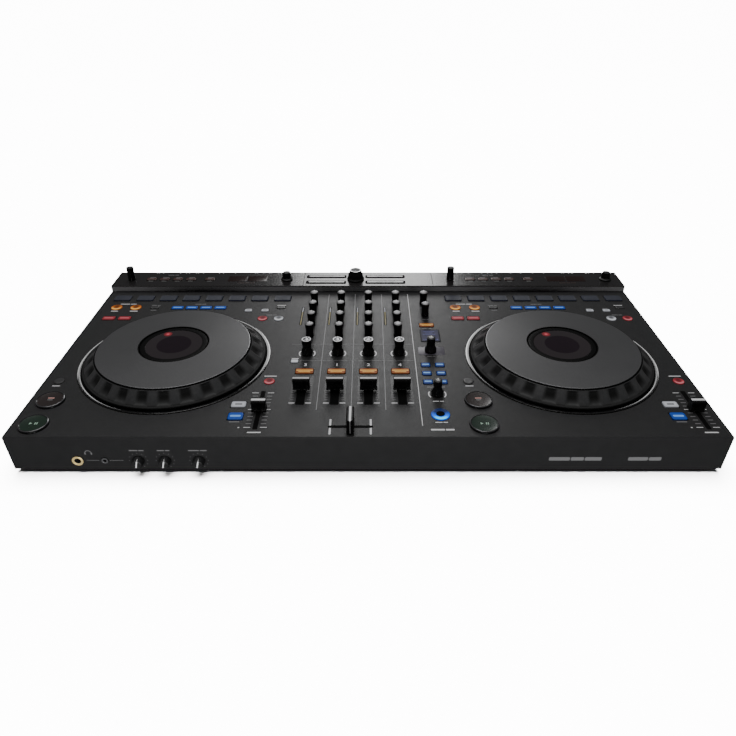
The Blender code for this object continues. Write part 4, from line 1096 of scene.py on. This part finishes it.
def ring_nut(form, at, inner, outer, height, paint, basis, facets=0):
    """A ring round a bore, its outer wall round or, with facets, a nut's: the flats are a cosine law."""
    sides = 96
    angle = TAU * np.arange(sides) / sides
    rows = [(inner, -0.1), (outer, -0.1), (outer, 0.75 * height), (outer - 0.3, height),
            (inner + 0.5, height), (inner, height - 0.4)]
    ripple = np.zeros((len(rows), sides))
    if facets:
        turn = (angle + math.pi / facets) % (TAU / facets) - math.pi / facets
        ripple[1:4] = outer * (math.cos(math.pi / facets) / np.cos(turn) - 1)
    form.add(turned(rows, sides, ripple), at, paint, basis=basis, looped=True)


def make_front_face():
    """Collar rings of the headphone sockets, and the words and lines of the front face."""
    z = middle("mic_level_knob")[2]
    face = span("headphone_sockets")[0][1]
    rings = Form()
    ring_nut(rings, (PHONES_X, face, z), 3.4, 5.7, 0.8, 0, FORWARD)
    ring_nut(rings, (MINI_PHONES_X, face, z), 1.9, 3.3, 0.4, 1, FORWARD)
    rings.piece("headphone_rings", "chassis", "socket", [GOLD, BUTTON_EDGE])
    form = Form()
    for node, width in (("headphone_mix_knob", 15.0), ("headphone_level_knob", 13.0),
                        ("mic_level_knob", 19.0)):
        word(form, (middle(node)[0], 0.0, z + 13.0), width, 1.3, basis=FORWARD)
        for degrees in range(-150, 151, 30):
            turn = math.radians(90.0 - degrees)
            x = middle(node)[0] + 9.4 * math.cos(turn)
            mark = [(0.45, -PRINT), (0.45, PRINT), (0.02, PRINT)]
            form.add(turned(mark, 12), (x, 0.0, z + 9.4 * math.sin(turn)), 1, 1.0, FORWARD)
    form.add(arc(3.2, 0.8, 10.0, 170.0), (-284.5, 0.0, z + 9.6), 0, 1.0, FORWARD)
    for way in (-1, 1):
        dash(form, (-284.5 + way * 3.2, 0.0, z + 9.0), 1.5, 2.6, basis=FORWARD)
    for x, width in ((-281.8, 13.0), (-257.5, 14.0)):
        dash(form, (x, 0.0, z), width, 0.4, basis=FORWARD)
    for x, width, parts in ((212.0, 54.0, 3), (283.0, 34.0, 2)):
        word(form, (x, 0.0, z + 2.0), width, 4.6, basis=FORWARD, parts=parts)
    form.piece("front_marks", "chassis", "case", [FAINT_INK, DIM_INK])


def make_rear_sockets():
    """Nuts, rings and rims round the sockets of the rear wall, and the words over them."""
    wall, z = span("top_panel")[1][1], REAR_SOCKET_Z
    form = Form()
    for x in REAR_JACKS:
        ring_nut(form, (x, wall, z), 3.4, 6.6, 1.6, 0, BACKWARD, 6)
        ring_nut(form, (x, wall, z), 3.35, 4.9, 2.6, 0, BACKWARD)
    for x, paint in zip(REAR_PHONOS, (1, 2)):
        ring_nut(form, (x, wall, z), 4.4, 6.2, 0.8, paint, BACKWARD)
    for x in REAR_PORTS:
        rows = [(-1.0, -0.1), (-1.0, 0.5), (-0.75, 0.7), (-0.35, 0.7), (-0.15, 0.5), (-0.15, -0.1)]
        rim = np.array([np.column_stack([rounded(8.5 - 2 * a, 7.9 - 2 * a, 0.9), np.full(20, h)])
                        for a, h in rows])
        form.add(rim, (x, wall, z), 0, basis=BACKWARD, looped=True)
    form.piece("rear_socket_rims", "chassis", "socket", [SILVER, WHITE_INK, RED_PLASTIC])
    marks = Form()
    for x in REAR_JACKS + REAR_PHONOS + REAR_PORTS:
        word(marks, (x, wall, z + 13.5), 11.0, 1.3, basis=BACKWARD)
    word(marks, (-72.0, wall, z - 8.0), 44.0, 1.5, basis=BACKWARD, parts=3)
    for x in (140.0, 160.0):
        word(marks, (x, wall, z + 6.0), 9.0, 1.3, basis=BACKWARD)
    marks.piece("rear_wall_marks", "chassis", "case", [GREY_INK])


def screw(form, at, radius, paint, basis):
    """A button-head screw: a domed turned head with a six-sided socket sunk in it."""
    sides = 36
    angle = TAU * np.arange(sides) / sides
    turn = (angle + math.pi / 6) % (TAU / 6) - math.pi / 6
    flat = math.cos(math.pi / 6) / np.cos(turn)
    rows = [(radius, -0.3), (radius, 0.3), (0.93 * radius, 0.75), (0.72 * radius, 1.1),
            (0.48 * radius, 1.2), (0.46 * radius, 1.1), (0.46 * radius, 0.2), (0.02, 0.1)]
    ripple = np.zeros((len(rows), sides))
    ripple[4:7] = 0.46 * radius * (flat - 1)
    form.add(turned(rows, sides, ripple), at, paint, basis=basis)


def make_screws():
    """Screws in the bottom plate and beside the rear sockets."""
    form = Form()
    low, high = span("bottom_plate")
    for x in np.linspace(low[0] + 9.0, high[0] - 9.0, 5):
        for y in (low[1] + 9.0, high[1] - 9.0):
            screw(form, (x, y, low[2]), 2.8, 0, DOWN)
    wall = span("top_panel")[1][1]
    for x in (-340.0, -190.0, 190.0, 340.0):
        screw(form, (x, wall, -20.0), 2.4, 0, BACKWARD)
    form.piece("case_screws", "chassis", "steel", [STEEL])


def make_feet():
    """Rubber foot strips: a rounded strip with shallow ribs along it, a cosine across the sole."""
    for node in ("front_foot", "rear_foot"):
        low, high = span(node)
        width, depth, tall = high - low
        count = 40
        along = np.linspace(0, width, 60)
        shrink = 1.6 * (np.clip(1.6 - np.minimum(along, width - along), 0, 1.6) / 1.6) ** 2
        turn = TAU * (np.arange(count) + 0.5) / count
        across = np.sign(np.cos(turn)) * np.abs(np.cos(turn)) ** 0.35
        rise = np.sign(np.sin(turn)) * np.abs(np.sin(turn)) ** 0.35
        sole = np.where(rise < -0.95, 0.22 * (1 - np.cos(across * 5 * TAU)), 0.0)
        y = across[None] * (depth / 2 - shrink[:, None])
        z = rise[None] * (tall / 2 - 0.4 * shrink[:, None]) + sole[None]
        x = np.broadcast_to((along - width / 2)[:, None], y.shape)
        form = Form()
        form.add(np.stack([x, y, z], axis=-1), (low + high) / 2)
        form.piece(node + "_rubber", "chassis", "rubber", [RUBBER], [node])


# ---------------------------------------------------------------- carried-over parts, stage, run

def paint_parts():
    """Give each part that stays visible its finish."""
    finishes = {"top_panel": CASE, "rear_cover": cover_finish(), "bottom_plate": STEEL,
                "headphone_sockets": SOCKET, "main_board": board_finish()}
    for node, finish in finishes.items():
        mesh = frame["nodes"][node].data
        mesh.materials.clear()
        mesh.materials.append(finish)


def area_light(name, at, target, size, power):
    """A soft rectangular light that faces a point."""
    data = bpy.data.lights.new(name, "AREA")
    data.shape = "RECTANGLE"
    data.size, data.size_y = size
    data.energy = power
    light = bpy.data.objects.new(name, data)
    light.location = at
    light.rotation_euler = (Vector(target) - Vector(at)).to_track_quat("-Z", "Y").to_euler()
    light.visible_camera = False
    bpy.context.scene.collection.objects.link(light)
    return light


def light_only(light, names):
    """Let a light reach only the named objects."""
    group = bpy.data.collections.new(light.name + "_receivers")
    for name in names:
        group.objects.link(bpy.data.objects[name])
    light.light_linking.receiver_collection = group


def sky_light(name, power):
    """A broad even light from high above, a little to the rear."""
    data = bpy.data.lights.new(name, "SUN")
    data.energy = power
    data.angle = math.radians(55.0)
    light = bpy.data.objects.new(name, data)
    light.rotation_euler = (math.radians(-12.0), math.radians(-3.0), 0.0)
    bpy.context.scene.collection.objects.link(light)
    return light


def make_stage():
    """Floor, world, lights and camera."""
    half = 14.0
    mesh = bpy.data.meshes.new("floor")
    mesh.from_pydata([(-half, -half, 0), (half, -half, 0), (half, half, 0), (-half, half, 0)], [],
                     [(0, 1, 2, 3)])
    floor_finish = Finish("floor_paper", (0.90, 0.90, 0.90), 0.9)
    floor_finish.mottle(0.01, 3.0)
    mesh.materials.append(floor_finish.made)
    floor = bpy.data.objects.new("floor", mesh)
    bpy.context.scene.collection.objects.link(floor)

    world = bpy.data.worlds.new("studio")
    world.use_nodes = True
    world.node_tree.nodes["Background"].inputs["Color"].default_value = (1.0, 1.0, 1.0, 1.0)
    world.node_tree.nodes["Background"].inputs["Strength"].default_value = 0.07
    bpy.context.scene.world = world

    sky_light("soft_sky", 2.1)
    light_only(sky_light("floor_sky", 48.0), ["floor"])
    floor.visible_glossy = False
    floor.visible_diffuse = False
    area_light("behind", (0.02, 2.1, 1.05), (0, 0, 0.05), (0.70, 0.9), 12.0)

    lens = bpy.data.cameras.new("camera")
    lens.sensor_width = 36.0
    lens.lens = 31.18
    lens.clip_end = 60.0
    camera = bpy.data.objects.new("camera", lens)
    camera.location = (0.0, -0.6867, 0.4509)
    camera.rotation_euler = (math.radians(57.07), 0.0, 0.0)
    bpy.context.scene.collection.objects.link(camera)
    bpy.context.scene.camera = camera


def make_accents():
    """Lights that only some pieces catch: the rings round the jog wheels, and the front walls."""
    glint = area_light("rim_glint", (0.0, 1.71, 1.05), (0, 0, 0.05), (3.4, 0.3), 11.0)
    light_only(glint, ["jog_rim_" + side for side in SIDES])
    fill = area_light("front_fill", (0.0, -2.6, 0.24), (0, 0, 0.03), (2.4, 0.6), 105.0)
    fronts = [frame["nodes"][node].name for node in ("top_panel", "rear_cover", "headphone_sockets")]
    knobs = ("headphone_mix_knob", "headphone_level_knob", "mic_level_knob")
    light_only(fill, fronts + ["front_marks", "headphone_rings"] + [node + "_shell" for node in knobs])


make_stage()
paint_parts()
make_small_knobs()
make_filter_knobs()
make_effect_knobs()
make_rear_knobs()
make_front_knobs()
make_faders()
deck_centres = [middle("pads_" + side)[0] for side in SIDES]
for deck_side, deck_centre in zip(SIDES, deck_centres):
    make_jog_wheel(deck_side)
    make_jog_display(deck_side)
    make_big_buttons(deck_side)
    make_pads(deck_side)
    make_deck_keys(deck_side, deck_centre)
    make_deck_marks(deck_side, deck_centre)
make_mixer_keys()
make_rear_keys()
make_mixer_marks()
make_meters()
make_effects_display()
make_rear_panel_trim(deck_centres)
make_front_face()
make_rear_sockets()
make_screws()
make_feet()
make_accents()
